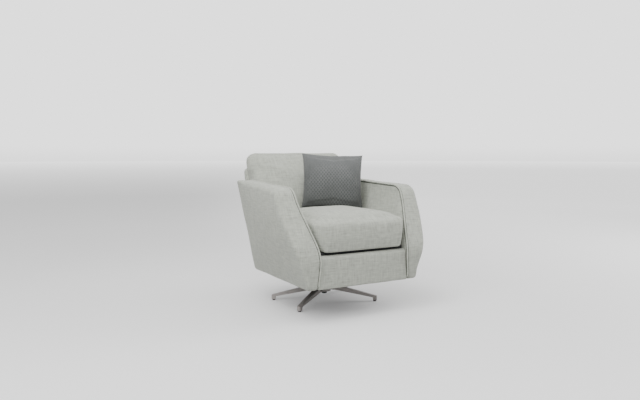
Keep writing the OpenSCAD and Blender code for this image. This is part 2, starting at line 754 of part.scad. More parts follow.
scatter_turn = -24;
scatter_lean = 13;
scatter_roll = 1.9;
scatter_sink = 22.75;
scatter_foot = [87.6, 59.6, seat_edge_z + seat_crown - scatter_sink];
scatter_draw = 0.068;
function scatter_square(i) = let (t = i % 10 / 5 - 1)
    i < 10 ? [t, -1] : i < 20 ? [1, t] : i < 30 ? [-t, 1] : [-1, -t];
function scatter_point(q, side) = let (u = q[0], v = q[1])
    [scatter_w / 2 * u * (1 - scatter_draw * (1 - v * v)),
        side * scatter_t / 2 * pow((1 - u * u) * (1 - v * v), 0.45),
        scatter_h / 2 * (1 + v * (1 - scatter_draw * (1 - u * u)))];
function scatter_ring(f, side) = [for (i = [0 : 39]) scatter_point(scatter_square(i) * f, side)];

module scatter_cushion() {
    color(scatter_tone) translate(scatter_foot) rotate([0, 0, scatter_turn])
        rotate([-scatter_lean, 0, 0]) rotate([0, scatter_roll, 0]) loft(
            concat(
                [for (f = [0.25, 0.5, 0.7, 0.85, 0.95]) scatter_ring(f, 1)],
                [scatter_ring(1, 0)],
                [for (f = [0.95, 0.85, 0.7, 0.5, 0.25]) scatter_ring(f, -1)]),
            scatter_point([0, 0], 1), scatter_point([0, 0], -1));
}

// Base

leg_angles = [-leg_angle, leg_angle, 180 - leg_angle, 180 + leg_angle];
leg_drop = (leg_crest_z - leg_tip_z) / leg_reach;
foot_l = 24;
foot_z = glide_h;
leg_under_tip = leg_tip_z + leg_drop * foot_l - leg_tip_h;
leg_under_drop = (leg_crest_z - leg_root_h - leg_under_tip) / (leg_reach - foot_l);
function leg_top(r) = leg_crest_z - leg_drop * r;
function leg_under(r) = leg_crest_z - leg_root_h - leg_under_drop * r;
function leg_half(r) = (leg_root_w + (leg_tip_w - leg_root_w) * r / leg_reach) / 2;
tenon_w = 14;
tenon_l = 26;
tenon_margin = 6;
tip_r = 5;
glide_r = 8.5;
glide_at = leg_reach - foot_l / 2;
stem_r = 3;
stem_l = 9;
leg_screw_r = 3;
leg_screw_head_r = 5;
leg_screw_head_h = 4;
leg_screw_bite = 9;
leg_screw_sink = 1;
leg_screw_at = stub_reach - tenon_l / 2;

module leg_plan() {
    difference() {
        polygon([[0, -leg_half(0)], [leg_reach, -leg_half(leg_reach)], [leg_reach, leg_half(leg_reach)],
            [0, leg_half(0)]]);
        for (s = [-1, 1]) difference() {
            translate([leg_reach - tip_r, s > 0 ? leg_half(leg_reach) - tip_r : -leg_half(leg_reach) - 1])
                square([tip_r + 1, tip_r + 1]);
            translate([leg_reach - tip_r, s * (leg_half(leg_reach) - tip_r)]) circle(r = tip_r, $fn = 32);
        }
    }
}
module leg_blade() {
    intersection() {
        translate([0, leg_root_w, 0]) rotate([90, 0, 0]) linear_extrude(2 * leg_root_w)
            polygon([[stub_reach, leg_under(stub_reach)], [leg_reach - foot_l, leg_under(leg_reach - foot_l)],
                [leg_reach - foot_l + 3, foot_z], [leg_reach, foot_z], [leg_reach, leg_tip_z],
                [stub_reach, leg_top(stub_reach)]]);
        linear_extrude(leg_crest_z) leg_plan();
    }
}
module leg_tenon() {
    translate([0, tenon_w / 2, 0]) rotate([90, 0, 0]) linear_extrude(tenon_w)
        polygon([for (p = [[0, 1], [tenon_l, 1], [tenon_l, -1], [0, -1]])
            let (r = stub_reach - p[0])
            [r, p[1] > 0 ? leg_under(r) + tenon_margin : leg_top(r) - tenon_margin]]);
}
module leg_shape() {
    difference() {
        union() {
            leg_blade();
            leg_tenon();
        }
        translate([glide_at, 0, foot_z - 1]) cylinder(r = stem_r, h = stem_l + 1, $fn = 32);
        translate([leg_screw_at, 0, 0]) cylinder(r = leg_screw_r, h = leg_under(leg_screw_at) + tenon_margin + leg_screw_bite,
            $fn = 32);
    }
}
module leg_front_right() { color(steel_tone) rotate([0, 0, leg_angles[0]]) leg_shape(); }
module leg_rear_right() { color(steel_tone) rotate([0, 0, leg_angles[1]]) leg_shape(); }
module leg_rear_left() { color(steel_tone) rotate([0, 0, leg_angles[2]]) leg_shape(); }
module leg_front_left() { color(steel_tone) rotate([0, 0, leg_angles[3]]) leg_shape(); }

module foot_glides() {
    color(dark_steel_tone) for (a = leg_angles) rotate([0, 0, a]) translate([glide_at, 0, 0]) {
        cylinder(r = glide_r, h = glide_h, $fn = 48);
        cylinder(r = stem_r, h = glide_h + stem_l, $fn = 32);
    }
}
module leg_screws() {
    color(dark_steel_tone) for (a = leg_angles) rotate([0, 0, a]) translate([leg_screw_at, 0, leg_under(leg_screw_at)]) {
        translate([0, 0, -leg_screw_sink])
            cylinder(r = leg_screw_r, h = tenon_margin + leg_screw_bite + leg_screw_sink, $fn = 32);
        translate([0, 0, -2 * leg_screw_sink]) cylinder(r = leg_screw_head_r, h = leg_screw_head_h, $fn = 32);
    }
}

// The hub casting: four stubs joined by hollow fillets, with a boss for the spindle
boss_z = 56;
boss_top = 112;
wide_fillet_r = 88;
side_fillet_r = 30;
shoulder_h = 6;
thread_r = 10;

// Fillet between two stubs that lie half_angle to each side of +X
module crotch_fillet(half_angle, r) {
    w = leg_half(0);
    corner = w / sin(half_angle);
    reach = corner + r / sin(half_angle);
    foot = r / tan(half_angle) + w / tan(half_angle);
    difference() {
        polygon([[0, 0], [foot * cos(half_angle) + w * sin(half_angle), foot * sin(half_angle) - w * cos(half_angle)],
            [foot * cos(half_angle) + w * sin(half_angle), -foot * sin(half_angle) + w * cos(half_angle)]]);
        translate([reach, 0]) circle(r = r, $fn = 96);
    }
}
module hub_plan() {
    intersection() {
        union() {
            for (a = leg_angles) rotate(a) leg_plan();
            for (a = [0, 180]) rotate(a) crotch_fillet(leg_angle, side_fillet_r);
            for (a = [90, 270]) rotate(a) crotch_fillet(90 - leg_angle, wide_fillet_r);
        }
        circle(r = stub_reach, $fn = 128);
    }
}
module star_hub() {
    color(steel_tone) difference() {
        union() {
            intersection() {
                translate([0, 0, boss_z]) linear_extrude(boss_top - boss_z) hub_plan();
                rotate_extrude($fn = 128)
                    polygon([[0, leg_under(0)], [stub_reach + 1, leg_under(stub_reach + 1)],
                        [stub_reach + 1, leg_top(stub_reach + 1)], [0, leg_top(0)]]);
            }
            translate([0, 0, boss_z]) cylinder(r = boss_r, h = boss_top - boss_z, $fn = 96);
        }
        translate([0, 0, boss_z + shoulder_h]) cylinder(r = spindle_r, h = boss_top - boss_z, $fn = 64);
        translate([0, 0, boss_z - 1]) cylinder(r = thread_r, h = boss_top - boss_z, $fn = 64);
        for (a = leg_angles) rotate([0, 0, a]) {
            leg_tenon();
            translate([leg_screw_at, 0, 0])
                cylinder(r = leg_screw_r + hole_clear, h = leg_under(leg_screw_at) + tenon_margin + leg_screw_sink, $fn = 32);
            translate([leg_screw_at, 0, 0])
                cylinder(r = leg_screw_head_r + hole_clear,
                    h = leg_under(leg_screw_at) + leg_screw_head_h - 2 * leg_screw_sink, $fn = 32);
        }
    }
}

// Spindle and its fixing

nut_h = 10;
washer_t = 2;
race_h = 4;
ball_r = 2.5;
race_gap = 2;
ball_ring_r = 23;
race_r = 30;
tube_wall = 5;
bush_wall = 4;
bush_flange_t = 2;
clip_t = 2;
clip_depth = 1.5;
bush_in_r = spindle_r + run_clear;
bush_out_r = bush_in_r + bush_wall;
tube_r = bush_out_r + tube_wall;
flange_r = tube_r + 2;
lower_race_z = boss_top;
ball_z = lower_race_z + race_h + race_gap / 2;
upper_race_z = lower_race_z + race_h + race_gap;
tube_z = upper_race_z + race_h;
flange_z = frame_z + 1;
keeper_z = flange_z + bush_flange_t + seat_clear;
clip_z = keeper_z + washer_t;
spindle_top = clip_z + clip_t + 4;

module ring(inner, outer, z, h, sides = 96) {
    translate([0, 0, z]) difference() {
        cylinder(r = outer, h = h, $fn = sides);
        translate([0, 0, -1]) cylinder(r = inner, h = h + 2, $fn = 64);
    }
}
module spindle() {
    color(steel_tone) difference() {
        union() {
            translate([0, 0, boss_z - washer_t - nut_h - 3])
                cylinder(r = thread_r, h = shoulder_h + washer_t + nut_h + 4, $fn = 64);
            translate([0, 0, boss_z + shoulder_h])
                cylinder(r = spindle_r, h = spindle_top - boss_z - shoulder_h, $fn = 64);
        }
        ring(spindle_r - clip_depth, spindle_r + 1, clip_z, clip_t);
    }
}
module spindle_washer() { color(steel_tone) ring(thread_r, thread_r + 8, boss_z - washer_t, washer_t); }
module spindle_nut() { color(dark_steel_tone) ring(thread_r, thread_r + 7, boss_z - washer_t - nut_h, nut_h, 6); }
module race_groove(clear) {
    translate([0, 0, ball_z]) rotate_extrude($fn = 96) translate([ball_ring_r, 0]) circle(r = ball_r + clear, $fn = 32);
}
module lower_race() {
    color(dark_steel_tone) difference() {
        ring(spindle_r, race_r, lower_race_z, race_h);
        race_groove(run_clear);
    }
}
module upper_race() {
    color(dark_steel_tone) difference() {
        ring(spindle_r + seat_clear, race_r, upper_race_z, race_h);
        race_groove(seat_clear);
    }
}
module at_balls() {
    for (i = [0 : ball_count - 1]) rotate([0, 0, 360 * i / ball_count]) translate([ball_ring_r, 0, 0]) children();
}
module bearing_balls() {
    color("silver") at_balls() translate([0, 0, ball_z]) sphere(r = ball_r, $fn = 32);
}
module ball_cage() {
    color("#b08d4a") difference() {
        ring(ball_ring_r - ball_r - 1.5, ball_ring_r + ball_r + 1.5, ball_z - 0.7, 1.4);
        at_balls() translate([0, 0, ball_z - 2]) cylinder(r = ball_r + run_clear, h = 4, $fn = 32);
    }
}
module retaining_washer() { color(steel_tone) ring(spindle_r, flange_r, keeper_z, washer_t); }
module retaining_clip() {
    color(dark_steel_tone) difference() {
        ring(spindle_r - clip_depth, spindle_r + 4, clip_z, clip_t);
        translate([0, -3, clip_z - 1]) cube([2 * spindle_r, 6, clip_t + 2]);
    }
}

// Swivel that turns with the chair

module swivel_tube() { color(steel_tone) ring(bush_out_r, tube_r, tube_z, flange_z - tube_z); }
module swivel_bush() {
    color(nylon_tone) union() {
        ring(bush_in_r, bush_out_r, tube_z, flange_z - tube_z + bush_flange_t);
        ring(bush_in_r, flange_r, flange_z, bush_flange_t);
    }
}
plate_corner_r = 14;
module swivel_plate() {
    half = plate_w / 2 - plate_corner_r;
    color(dark_steel_tone) difference() {
        translate([0, 0, body_z]) linear_extrude(plate_t) union() {
            square([plate_w, 2 * half], center = true);
            square([2 * half, plate_w], center = true);
            for (x = [-1, 1], y = [-1, 1]) translate([x * half, y * half]) circle(r = plate_corner_r, $fn = 48);
        }
        translate([0, 0, body_z - 1]) cylinder(r = tube_r, h = plate_t + 2, $fn = 96);
        at_plate_bolts() translate([0, 0, -1]) cylinder(r = bolt_r + hole_clear, h = plate_t + 2, $fn = 40);
    }
}
module plate_bolts() {
    color(steel_tone) at_plate_bolts() {
        cylinder(r = bolt_r, h = plate_t + bolt_grip, $fn = 40);
        translate([0, 0, -bolt_head_h]) cylinder(r = bolt_head_r, h = bolt_head_h, $fn = 6);
    }
}

star_hub();
leg_front_left();
leg_front_right();
leg_rear_left();
leg_rear_right();
leg_screws();
foot_glides();
spindle();
spindle_washer();
spindle_nut();
lower_race();
bearing_balls();
ball_cage();
retaining_washer();
retaining_clip();
upper_race();
swivel_tube();
swivel_bush();
swivel_plate();
plate_bolts();
front_bearer();
rear_bearer();
left_side_rail();
right_side_rail();
front_rail();
rear_rail();
corner_blocks();
seat_springs();
spring_clips();
seat_deck();
dust_cover();
left_arm_panel();
right_arm_panel();
left_arm();
right_arm();
left_arm_piping();
right_arm_piping();
arm_bolts();
front_border();
left_back_post();
right_back_post();
back_bolts();
back_top_rail();
back_lumbar_rail();
back_webbing();
back_rest();
outside_back();
back_cushion();
seat_cushion();
scatter_cushion();
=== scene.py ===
"""Swivel armchair: camera, upholstery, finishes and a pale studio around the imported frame."""

import logging
import math
from dataclasses import dataclass
from enum import Enum
from typing import Callable, Sequence

import bpy
import numpy as np
from mathutils import Matrix, Vector, noise
from mathutils.bvhtree import BVHTree

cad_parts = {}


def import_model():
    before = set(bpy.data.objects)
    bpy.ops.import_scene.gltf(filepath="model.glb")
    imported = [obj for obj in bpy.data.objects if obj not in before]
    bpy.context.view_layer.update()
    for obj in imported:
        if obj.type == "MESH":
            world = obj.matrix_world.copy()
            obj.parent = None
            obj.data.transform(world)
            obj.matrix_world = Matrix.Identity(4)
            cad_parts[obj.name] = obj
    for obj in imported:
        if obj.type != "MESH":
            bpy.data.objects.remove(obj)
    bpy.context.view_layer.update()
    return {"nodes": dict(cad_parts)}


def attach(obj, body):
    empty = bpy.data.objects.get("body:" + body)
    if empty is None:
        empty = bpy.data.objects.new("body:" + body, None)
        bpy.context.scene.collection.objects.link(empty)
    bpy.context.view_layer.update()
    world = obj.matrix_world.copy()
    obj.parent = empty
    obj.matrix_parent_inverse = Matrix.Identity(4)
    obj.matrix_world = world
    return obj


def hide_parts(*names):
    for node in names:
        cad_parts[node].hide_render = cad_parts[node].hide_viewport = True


logging.basicConfig(level=logging.INFO, format="%(message)s")
log = logging.getLogger("armchair")

MM = 0.001
Piece = bpy.types.Object
Points = np.ndarray
Pairs = Sequence[tuple[float, float]]
Triple = tuple[float, float, float]


class Slot(str, Enum):
    """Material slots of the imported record."""

    UPHOLSTERY = "upholstery"
    PIPING = "piping"
    SCATTER = "scatter_cloth"


class Ride(str, Enum):
    """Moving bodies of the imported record."""

    CHAIR = "chair_body"
    SEAT = "seat_cushion"
    SCATTER = "scatter_cushion"


class Side(int, Enum):
    """The chair's sides, by the sign of their X."""

    LEFT = -1
    RIGHT = 1


class Shade:
    """A socket with arithmetic, so that shader maths reads as a plain expression."""

    def __init__(self, sheet: "Sheet", socket: bpy.types.NodeSocket) -> None:
        """Wraps one output socket of a sheet's node."""
        self.sheet, self.socket = sheet, socket

    def _math(self, operation: str, *others: "Shade | float", first: bool = True) -> "Shade":
        """Adds one Math node.

        Args:
            operation: Blender's name for the operation.
            others: the further operands.
            first: whether this socket is the first operand.

        Returns:
            The node's value.
        """
        terms = [self, *others] if first else [*others, self]
        return self.sheet.shade("ShaderNodeMath", dict(enumerate(terms)), operation=operation)

    def __add__(self, other: "Shade | float") -> "Shade":
        """Sum."""
        return self._math("ADD", other)

    def __sub__(self, other: "Shade | float") -> "Shade":
        """Difference."""
        return self._math("SUBTRACT", other)

    def __rsub__(self, other: float) -> "Shade":
        """Difference from a number."""
        return self._math("SUBTRACT", other, first=False)

    def __mul__(self, other: "Shade | float") -> "Shade":
        """Product."""
        return self._math("MULTIPLY", other)

    def __truediv__(self, other: "Shade | float") -> "Shade":
        """Quotient."""
        return self._math("DIVIDE", other)

    def __pow__(self, other: float) -> "Shade":
        """Power."""
        return self._math("POWER", other)

    def __abs__(self) -> "Shade":
        """Size without sign."""
        return self._math("ABSOLUTE")

    __radd__, __rmul__ = __add__, __mul__

    def wave(self, period: float) -> "Shade":
        """Sine of this value, with the given period."""
        return (self * (2 * math.pi / period))._math("SINE")

    def nearest_line(self, period: float) -> "Shade":
        """Distance to the nearest whole multiple of a period."""
        return self._math("PINGPONG", period / 2)

    def step_between(self, low: float, high: float) -> "Shade":
        """Smooth step from 0 at low to 1 at high."""
        inputs = {0: self, 1: low, 2: high}
        return self.sheet.shade("ShaderNodeMapRange", inputs, interpolation_type="SMOOTHSTEP")

    def blend(self, at_zero: "Shade | float", at_one: "Shade | float") -> "Shade":
        """Number between two others, by this value as the share."""
        return at_zero + (at_one - at_zero) * self


class Sheet:
    """The nodes of one material or world."""

    def __init__(self, owner: bpy.types.Material | bpy.types.World) -> None:
        """Empties the owner's node tree.

        Args:
            owner: the material or world.
        """
        owner.use_nodes = True
        self.owner, self.tree = owner, owner.node_tree
        self.tree.nodes.clear()

    def node(self, kind: str, inputs: dict | None = None, **settings: object) -> bpy.types.Node:
        """Adds a node.

        Args:
            kind: Blender's node type.
            inputs: values or Shades for its sockets, by name or number.
            settings: the node's own settings, or a ramp's stops as place and tone; these are set first.

        Returns:
            The new node.
        """
        made = self.tree.nodes.new(kind)
        stops = settings.pop("stops", ())
        for key, value in settings.items():
            setattr(made, key, value)
        for _ in stops[2:]:
            made.color_ramp.elements.new(0.5)
        for element, (place, tone) in zip(made.color_ramp.elements if stops else (), stops):
            element.position, element.color = place, linear(tone)
        for key, value in (inputs or {}).items():
            if isinstance(value, Shade):
                self.tree.links.new(value.socket, made.inputs[key])
            else:
                made.inputs[key].default_value = value
        return made

    def shade(self, kind: str, inputs: dict | None = None, output: int | str = 0, **settings: object) -> Shade:
        """One output of a new node."""
        return Shade(self, self.node(kind, inputs, **settings).outputs[output])

    def split(self, coordinate: str) -> list[Shade]:
        """The three parts of one output of the Texture Coordinate node."""
        place = self.shade("ShaderNodeTexCoord", output=coordinate)
        return [Shade(self, out) for out in self.node("ShaderNodeSeparateXYZ", {0: place}).outputs]


class Surface(Sheet):
    """The nodes of one material, and the place on the piece in millimetres."""

    def __init__(self, name: str) -> None:
        """Starts a material by its name."""
        super().__init__(bpy.data.materials.new(name))
        self.x, self.y, self.z = (part * (1 / MM) for part in self.split("Object"))

    def facing(self, sharpness: float = 6.0) -> list[Shade]:
        """How much the surface faces each axis.

        Args:
            sharpness: how quickly one axis gives way to the next.

        Returns:
            Three shares that sum to one.
        """
        parts = [abs(part) ** sharpness for part in self.split("Normal")]
        total = parts[0] + parts[1] + parts[2]
        return [part / total for part in parts]

    def noise(self, x: Shade | float, y: Shade | float, z: Shade | float, detail: float = 2.0) -> Shade:
        """Fractal noise from 0 to 1 at a point whose coordinates are given."""
        point = self.shade("ShaderNodeCombineXYZ", {0: x, 1: y, 2: z})
        return self.shade("ShaderNodeTexNoise", {"Vector": point, "Scale": 1.0, "Detail": detail})

    def cloud(self, scale: float, detail: float) -> Shade:
        """Even noise over the piece, at a scale per millimetre."""
        return self.noise(self.x * scale, self.y * scale, self.z * scale, detail)

    def weave(self, p: Shade, q: Shade, thread: float) -> Shade:
        """Height of a plain weave.

        Args:
            p: millimetres along the warp.
            q: millimetres along the weft.
            thread: width of a thread in millimetres.

        Returns:
            The height, 0 to 1.
        """
        warp, weft = p.wave(2 * thread), q.wave(2 * thread)
        return (warp * weft).step_between(-0.35, 0.35).blend(abs(warp), abs(weft))

    def principled(self, colour: Shade, roughness: Shade | float, height: Shade, depth: float,
                   **fixed: Shade | float) -> Shade:
        """Adds a Principled shader with a bump.

        Args:
            colour: base colour.
            roughness: roughness.
            height: bump height from 0 to 1.
            depth: what a height of 1 stands for, in millimetres.
            fixed: other sockets by name, with _ for a space.

        Returns:
            The shader.
        """
        bump = self.shade("ShaderNodeBump", {"Distance": depth * MM, "Height": height})
        inputs = {"Base Color": colour, "Roughness": roughness, "Normal": bump}
        inputs |= {key.replace("_", " "): value for key, value in fixed.items()}
        return self.shade("ShaderNodeBsdfPrincipled", inputs)

    def closed(self, shader: Shade) -> bpy.types.Material:
        """The material, once a shader is joined to its output."""
        self.node("ShaderNodeOutputMaterial", {0: shader})
        return self.owner


def linear(tone: Sequence[float]) -> tuple[float, ...]:
    """Scene-linear RGBA of an sRGB tone from 0 to 255."""
    parts = [v / 255 for v in tone]
    return (*[v / 12.92 if v <= 0.04045 else ((v + 0.055) / 1.055) ** 2.4 for v in parts], 1.0)


def srgb(level: float) -> Triple:
    """Grey of 0 to 255 that stands for a scene-linear level."""
    return (255 * (12.92 * level if level <= 0.0031308 else 1.055 * level ** (1 / 2.4) - 0.055),) * 3


def scaled(tone: Triple, factor: float) -> Triple:
    """A tone made lighter or darker."""
    return tuple(min(255.0, v * factor) for v in tone)


def turned(p: Shade, q: Shade, degrees: float) -> tuple[Shade, Shade]:
    """Two coordinates turned by an angle."""
    c, s = math.cos(math.radians(degrees)), math.sin(math.radians(degrees))
    return p * c + q * s, q * c - p * s


@dataclass(frozen=True)
class Finish:
    """A finish by name and main tone. Sizes are in millimetres; tones are sRGB from 0 to 255."""

    name: str
    tone: Triple

    def tinted(self, on: Surface, share: Shade, *stops: tuple[float, float]) -> Shade:
        """The main tone times the factor at each stop, along a share."""
        return on.shade("ShaderNodeValToRGB", {0: share}, stops=[(p, scaled(self.tone, f)) for p, f in stops])

    def build(self) -> bpy.types.Material:
        """Builds the material.

        Returns:
            The material.
        """
        on = Surface(self.name)
        return on.closed(self.drawn(on))

    def drawn(self, on: Surface) -> Shade:
        """Draws the finish with a surface's nodes and gives its shader."""
        raise NotImplementedError


@dataclass(frozen=True)
class WovenCloth(Finish):
    """Plain-woven cloth with slubs, woven along the axes of the piece."""

    thread: float = 1.3
    slub_wide: float = 3.6
    slub_long: float = 80.0
    contrast: float = 1.45
    mottle: float = 0.5
    roughness: float = 0.92
    bias: float = 0.0
    seeds: Triple = (3, 11, 19)

    def threads(self, on: Surface, p: Shade, q: Shade, seed: float) -> tuple[Shade, Shade]:
        """Weave in one plane.

        Args:
            on: the material's nodes.
            p: millimetres along the warp.
            q: millimetres along the weft.
            seed: shifts the slubs.

        Returns:
            The height of the threads and the share of slubs, both 0 to 1.
        """
        if self.bias:
            p, q = turned(p, q, self.bias)
        height = on.weave(p, q, self.thread)
        wide, long = 1 / self.slub_wide, 1 / self.slub_long
        along = on.noise(p * wide, q * long, seed)
        across = on.noise(p * long, q * wide, seed + 7)
        return height, (along + across) * 0.5

    def drawn(self, on: Surface) -> Shade:
        """Draws the cloth in the three planes, each seen where the surface faces it.

        Args:
            on: the material's nodes.

        Returns:
            The shader.
        """
        planes = ((on.y, on.z), (on.x, on.z), (on.x, on.y))
        woven = [self.threads(on, p, q, seed) for (p, q), seed in zip(planes, self.seeds)]
        fx, fy, fz = on.facing()
        height, slub = (a * fx + b * fy + c * fz for a, b, c in zip(*woven))
        blotch = on.cloud(0.055, 3)
        share = (slub - 0.5) * self.contrast + (blotch - 0.5) * self.mottle + (height - 0.6) * 0.1 + 0.5
        colour = self.tinted(on, share, (0.0, 0.74), (0.5, 1.0), (1.0, 1.18))
        relief = height * 0.35 + slub * 0.9 + on.cloud(0.03, 3) * 2.6
        rough = slub * 0.08 + (self.roughness - 0.04)
        return on.principled(colour, rough, relief, 0.4, Sheen_Weight=0.18, Sheen_Roughness=0.5,
                             Specular_IOR_Level=0.25)


@dataclass(frozen=True)
class LatticeCloth(Finish):
    """Dark cloth with a small light diamond lattice, in the cushion's own plane."""

    tone: Triple = (75, 77, 76)
    line: Triple = (131, 133, 133)
    wide: float = 17.5
    high: float = 21.5
    thread: float = 1.1
    centre_z: float = 120.0
    spread: tuple[float, float] = (165.0, 150.0)

    def drawn(self, on: Surface) -> Shade:
        """Draws a lattice that wears off towards the edges, on cloth painted lighter towards the top and darker
        at the foot, as painted light and shade.

        Args:
            on: the material's nodes.

        Returns:
            The shader.
        """
        across, up = on.x / self.wide, on.z / self.high
        one, two = (way.nearest_line(1.0).step_between(0.06, 0.2) for way in (across + up, across - up))
        lines = 1 - one * two
        height = on.weave(on.x, on.z, self.thread)
        slub = on.noise(on.x * 0.25, on.z * 0.02, 5) * 0.5 + on.noise(on.x * 0.02, on.z * 0.25, 9) * 0.5
        worn = on.cloud(0.012, 2).step_between(0.3, 0.6)
        off_x, off_z = on.x / self.spread[0], (on.z - self.centre_z) / self.spread[1]
        fade = (1 - (off_x * off_x + off_z * off_z).step_between(0.25, 1.15)) * (0.55 + worn * 0.45)
        # painted light and shade: the cloth is lighter towards the top and darker towards the foot, where it sits
        # on the seat
        lift = on.z.step_between(110, 290) * 0.27 + on.z.step_between(0, 120) * 0.1 - 0.05
        share = lines * fade * 0.35 + (slub - 0.5) * 0.5 + (height - 0.6) * 0.12 + lift
        colour = on.shade("ShaderNodeValToRGB", {0: share}, stops=[(0.0, self.tone), (1.0, self.line)])
        relief = height * 0.3 + lines * 0.6 + on.cloud(0.03, 3) * 2.4
        return on.principled(colour, 0.86, relief, 0.4, Sheen_Weight=0.25, Sheen_Roughness=0.45,
                             Specular_IOR_Level=0.3)


@dataclass(frozen=True)
class BrushedMetal(Finish):
    """Metal brushed along one direction in plan, in degrees."""

    angle: float = 0.0
    roughness: float = 0.36
    grain: float = 0.12
    metallic: float = 1.0

    def drawn(self, on: Surface) -> Shade:
        """Draws fine scratches along the metal.

        Args:
            on: the material's nodes.

        Returns:
            The shader.
        """
        along, across = turned(on.x, on.y, self.angle)
        hair, cloud = on.noise(along * 0.03, across * 3.0, on.z * 3.0, 3), on.cloud(0.02, 2)
        share = (hair - 0.5) * self.grain * 2 + (cloud - 0.5) * 0.25 + 0.5
        colour = self.tinted(on, share, (0.0, 0.85), (0.5, 1.0), (1.0, 1.1))
        rough = (hair - 0.5) * 0.16 + (cloud - 0.5) * 0.1 + self.roughness
        return on.principled(colour, rough, hair, 0.06, Metallic=self.metallic)


@dataclass(frozen=True)
class Moulding(Finish):
    """Moulded plastic or plain thread with a fine texture."""

    roughness: float = 0.45

    def drawn(self, on: Surface) -> Shade:
        """Draws fine grit.

        Args:
            on: the material's nodes.

        Returns:
            The shader.
        """
        grit = on.cloud(1.2, 2)
        colour = self.tinted(on, on.cloud(0.05, 2) * 0.7 + grit * 0.3, (0.2, 0.88), (0.8, 1.08))
        return on.principled(colour, grit * 0.12 + (self.roughness - 0.06), grit, 0.05)


class Grain(Enum):
    """Axis along which timber's grain runs."""

    X = 0
    Y = 1
    Z = 2


@dataclass(frozen=True)
class Timber(Finish):
    """Planed hardwood with its grain along one axis, or plywood layered across X."""

    grain: Grain
    layered: bool = False

    def drawn(self, on: Surface) -> Shade:
        """Draws bands and pores along the grain.

        Args:
            on: the material's nodes.

        Returns:
            The shader.
        """
        scale = [0.7 if self.layered else 0.11, 0.11, 0.11]
        scale[self.grain.value] = 0.006
        x, y, z = (axis * factor for axis, factor in zip((on.x, on.y, on.z), scale))
        rings = (on.noise(x, y, z, 4) * 9).wave(1.0) * 0.5 + 0.5
        pores = on.noise(x * 14, y * 14, z * 14, 2)
        share = rings * 0.55 + pores * 0.45
        colour = self.tinted(on, share, (0.1, 0.78), (0.6, 1.0), (0.9, 1.08))
        return on.principled(colour, pores * 0.15 + 0.5, share, 0.12)


@dataclass(frozen=True)
class Felt(Finish):
    """Matted or spunbonded dark cloth."""

    dimple: float = 2.4

    def drawn(self, on: Surface) -> Shade:
        """Draws fibres and dimples.

        Args:
            on: the material's nodes.

        Returns:
            The shader.
        """
        dots, fibre = on.x.wave(self.dimple) * on.y.wave(self.dimple), on.cloud(0.9, 4)
        colour = self.tinted(on, dots * 0.15 + fibre * 0.8 + 0.05, (0.1, 0.8), (0.9, 1.25))
        return on.principled(colour, 0.9, dots * 0.4 + fibre, 0.3, Sheen_Weight=0.15)


@dataclass(frozen=True)
class Strap(Finish):
    """Elastic webbing with woven stripes."""

    def drawn(self, on: Surface) -> Shade:
        """Draws ribs and stripes.

        Args:
            on: the material's nodes.

        Returns:
            The shader.
        """
        ribs = on.x.wave(3.0) * on.z.wave(3.0)
        stripe = (on.x.nearest_line(50) - 12).nearest_line(12).step_between(0.5, 1.6)
        colour = self.tinted(on, ribs * 0.15 + stripe * 0.5 + 0.2, (0.0, 0.8), (1.0, 1.5))
        return on.principled(colour, 0.75, ribs, 0.25)


@dataclass(frozen=True)
class StudioFloor(Finish):
    """Pale matt floor with painted light: it glows softly far off, so that it fades into the backdrop, and
    glows a little near the chair, which lifts the chair's shadow.

    Glow and spill give levels of painted light by distance in metres; the spill is a painted pool of light
    that comes in from one side. Its colour is painted darker towards the left, as painted shade. The floor
    looks paler than the light that it throws back onto the chair.
    """

    name: str = "studio_floor"
    tone: Triple = (225, 225, 225)
    bounce: Triple = (190, 190, 190)
    reach: float = 60.0
    aside: float = -30.0
    # the painted pool of light fans out from a point this many metres towards the camera
    spill_apex: float = 3.4
    # levels of the painted glow: low near the chair to lift its shadow, rising far off into the backdrop
    painted_glow: Pairs = ((0.0, 0.13), (2.2, 0.13), (4.0, 0.2), (8.6, 0.2), (19.0, 0.55), (36.0, 0.95), (58.0, 1.3))
    painted_spill: Pairs = ((0.0, 0.0), (1.2, 0.02), (2.3, 0.2), (5.0, 0.5), (7.5, 0.58), (15.0, 0.33), (21.0, 0.15),
                    (30.0, 0.0))

    def drawn(self, on: Surface) -> Shade:
        """Draws the floor.

        Args:
            on: the material's nodes.

        Returns:
            The shader.
        """
        far = (on.x * on.x + on.y * on.y) ** 0.5 * (MM / self.reach)
        haze = on.cloud(0.002, 2)
        right, ahead = (part * MM for part in turned(on.x, on.y, self.aside))
        # painted shade: the floor's colour darkens towards the left side
        painted_left_shade = (1 - right.step_between(-2.2, -0.3)) * 0.8
        colour = self.tinted(on, haze * 0.2 + painted_left_shade, (0.0, 1.0), (1.0, 0.965))
        # painted light: the emission glow lightens the floor in the chair's shadow and brightens it far off
        top = self.painted_glow[-1][1]
        stops = [[(r / self.reach, srgb(v / top)) for r, v in levels] for levels in (self.painted_glow, self.painted_spill)]
        painted_glow, painted_spill = (on.shade("ShaderNodeValToRGB", {0: far}, stops=levels) for levels in stops)
        # painted light: a pool of light painted in from the right side
        painted_glow = painted_glow + painted_spill * (right / (ahead + self.spill_apex)).step_between(-0.25, 0.12)
        seen = on.principled(colour, haze * 0.1 + 0.55, haze, 0.1, Specular_IOR_Level=0.3,
                             Emission_Color=painted_glow, Emission_Strength=top)
        bounce = on.shade("ShaderNodeBsdfDiffuse", {"Color": linear(self.bounce)})
        direct = on.shade("ShaderNodeLightPath", output="Is Camera Ray")
        return on.shade("ShaderNodeMixShader", {0: direct, 1: bounce, 2: seen})


def ease(t: Points | float) -> Points:
    """Smooth step of values clamped to 0 and 1."""
    c = np.clip(t, 0, 1)
    return c * c * (3 - 2 * c)


def unit(v: Points) -> Points:
    """Vector of length one."""
    return v / np.linalg.norm(v)


def circle(count: int) -> Points:
    """Even angles once round a circle, in radians."""
    return 2 * math.pi * np.arange(count) / count


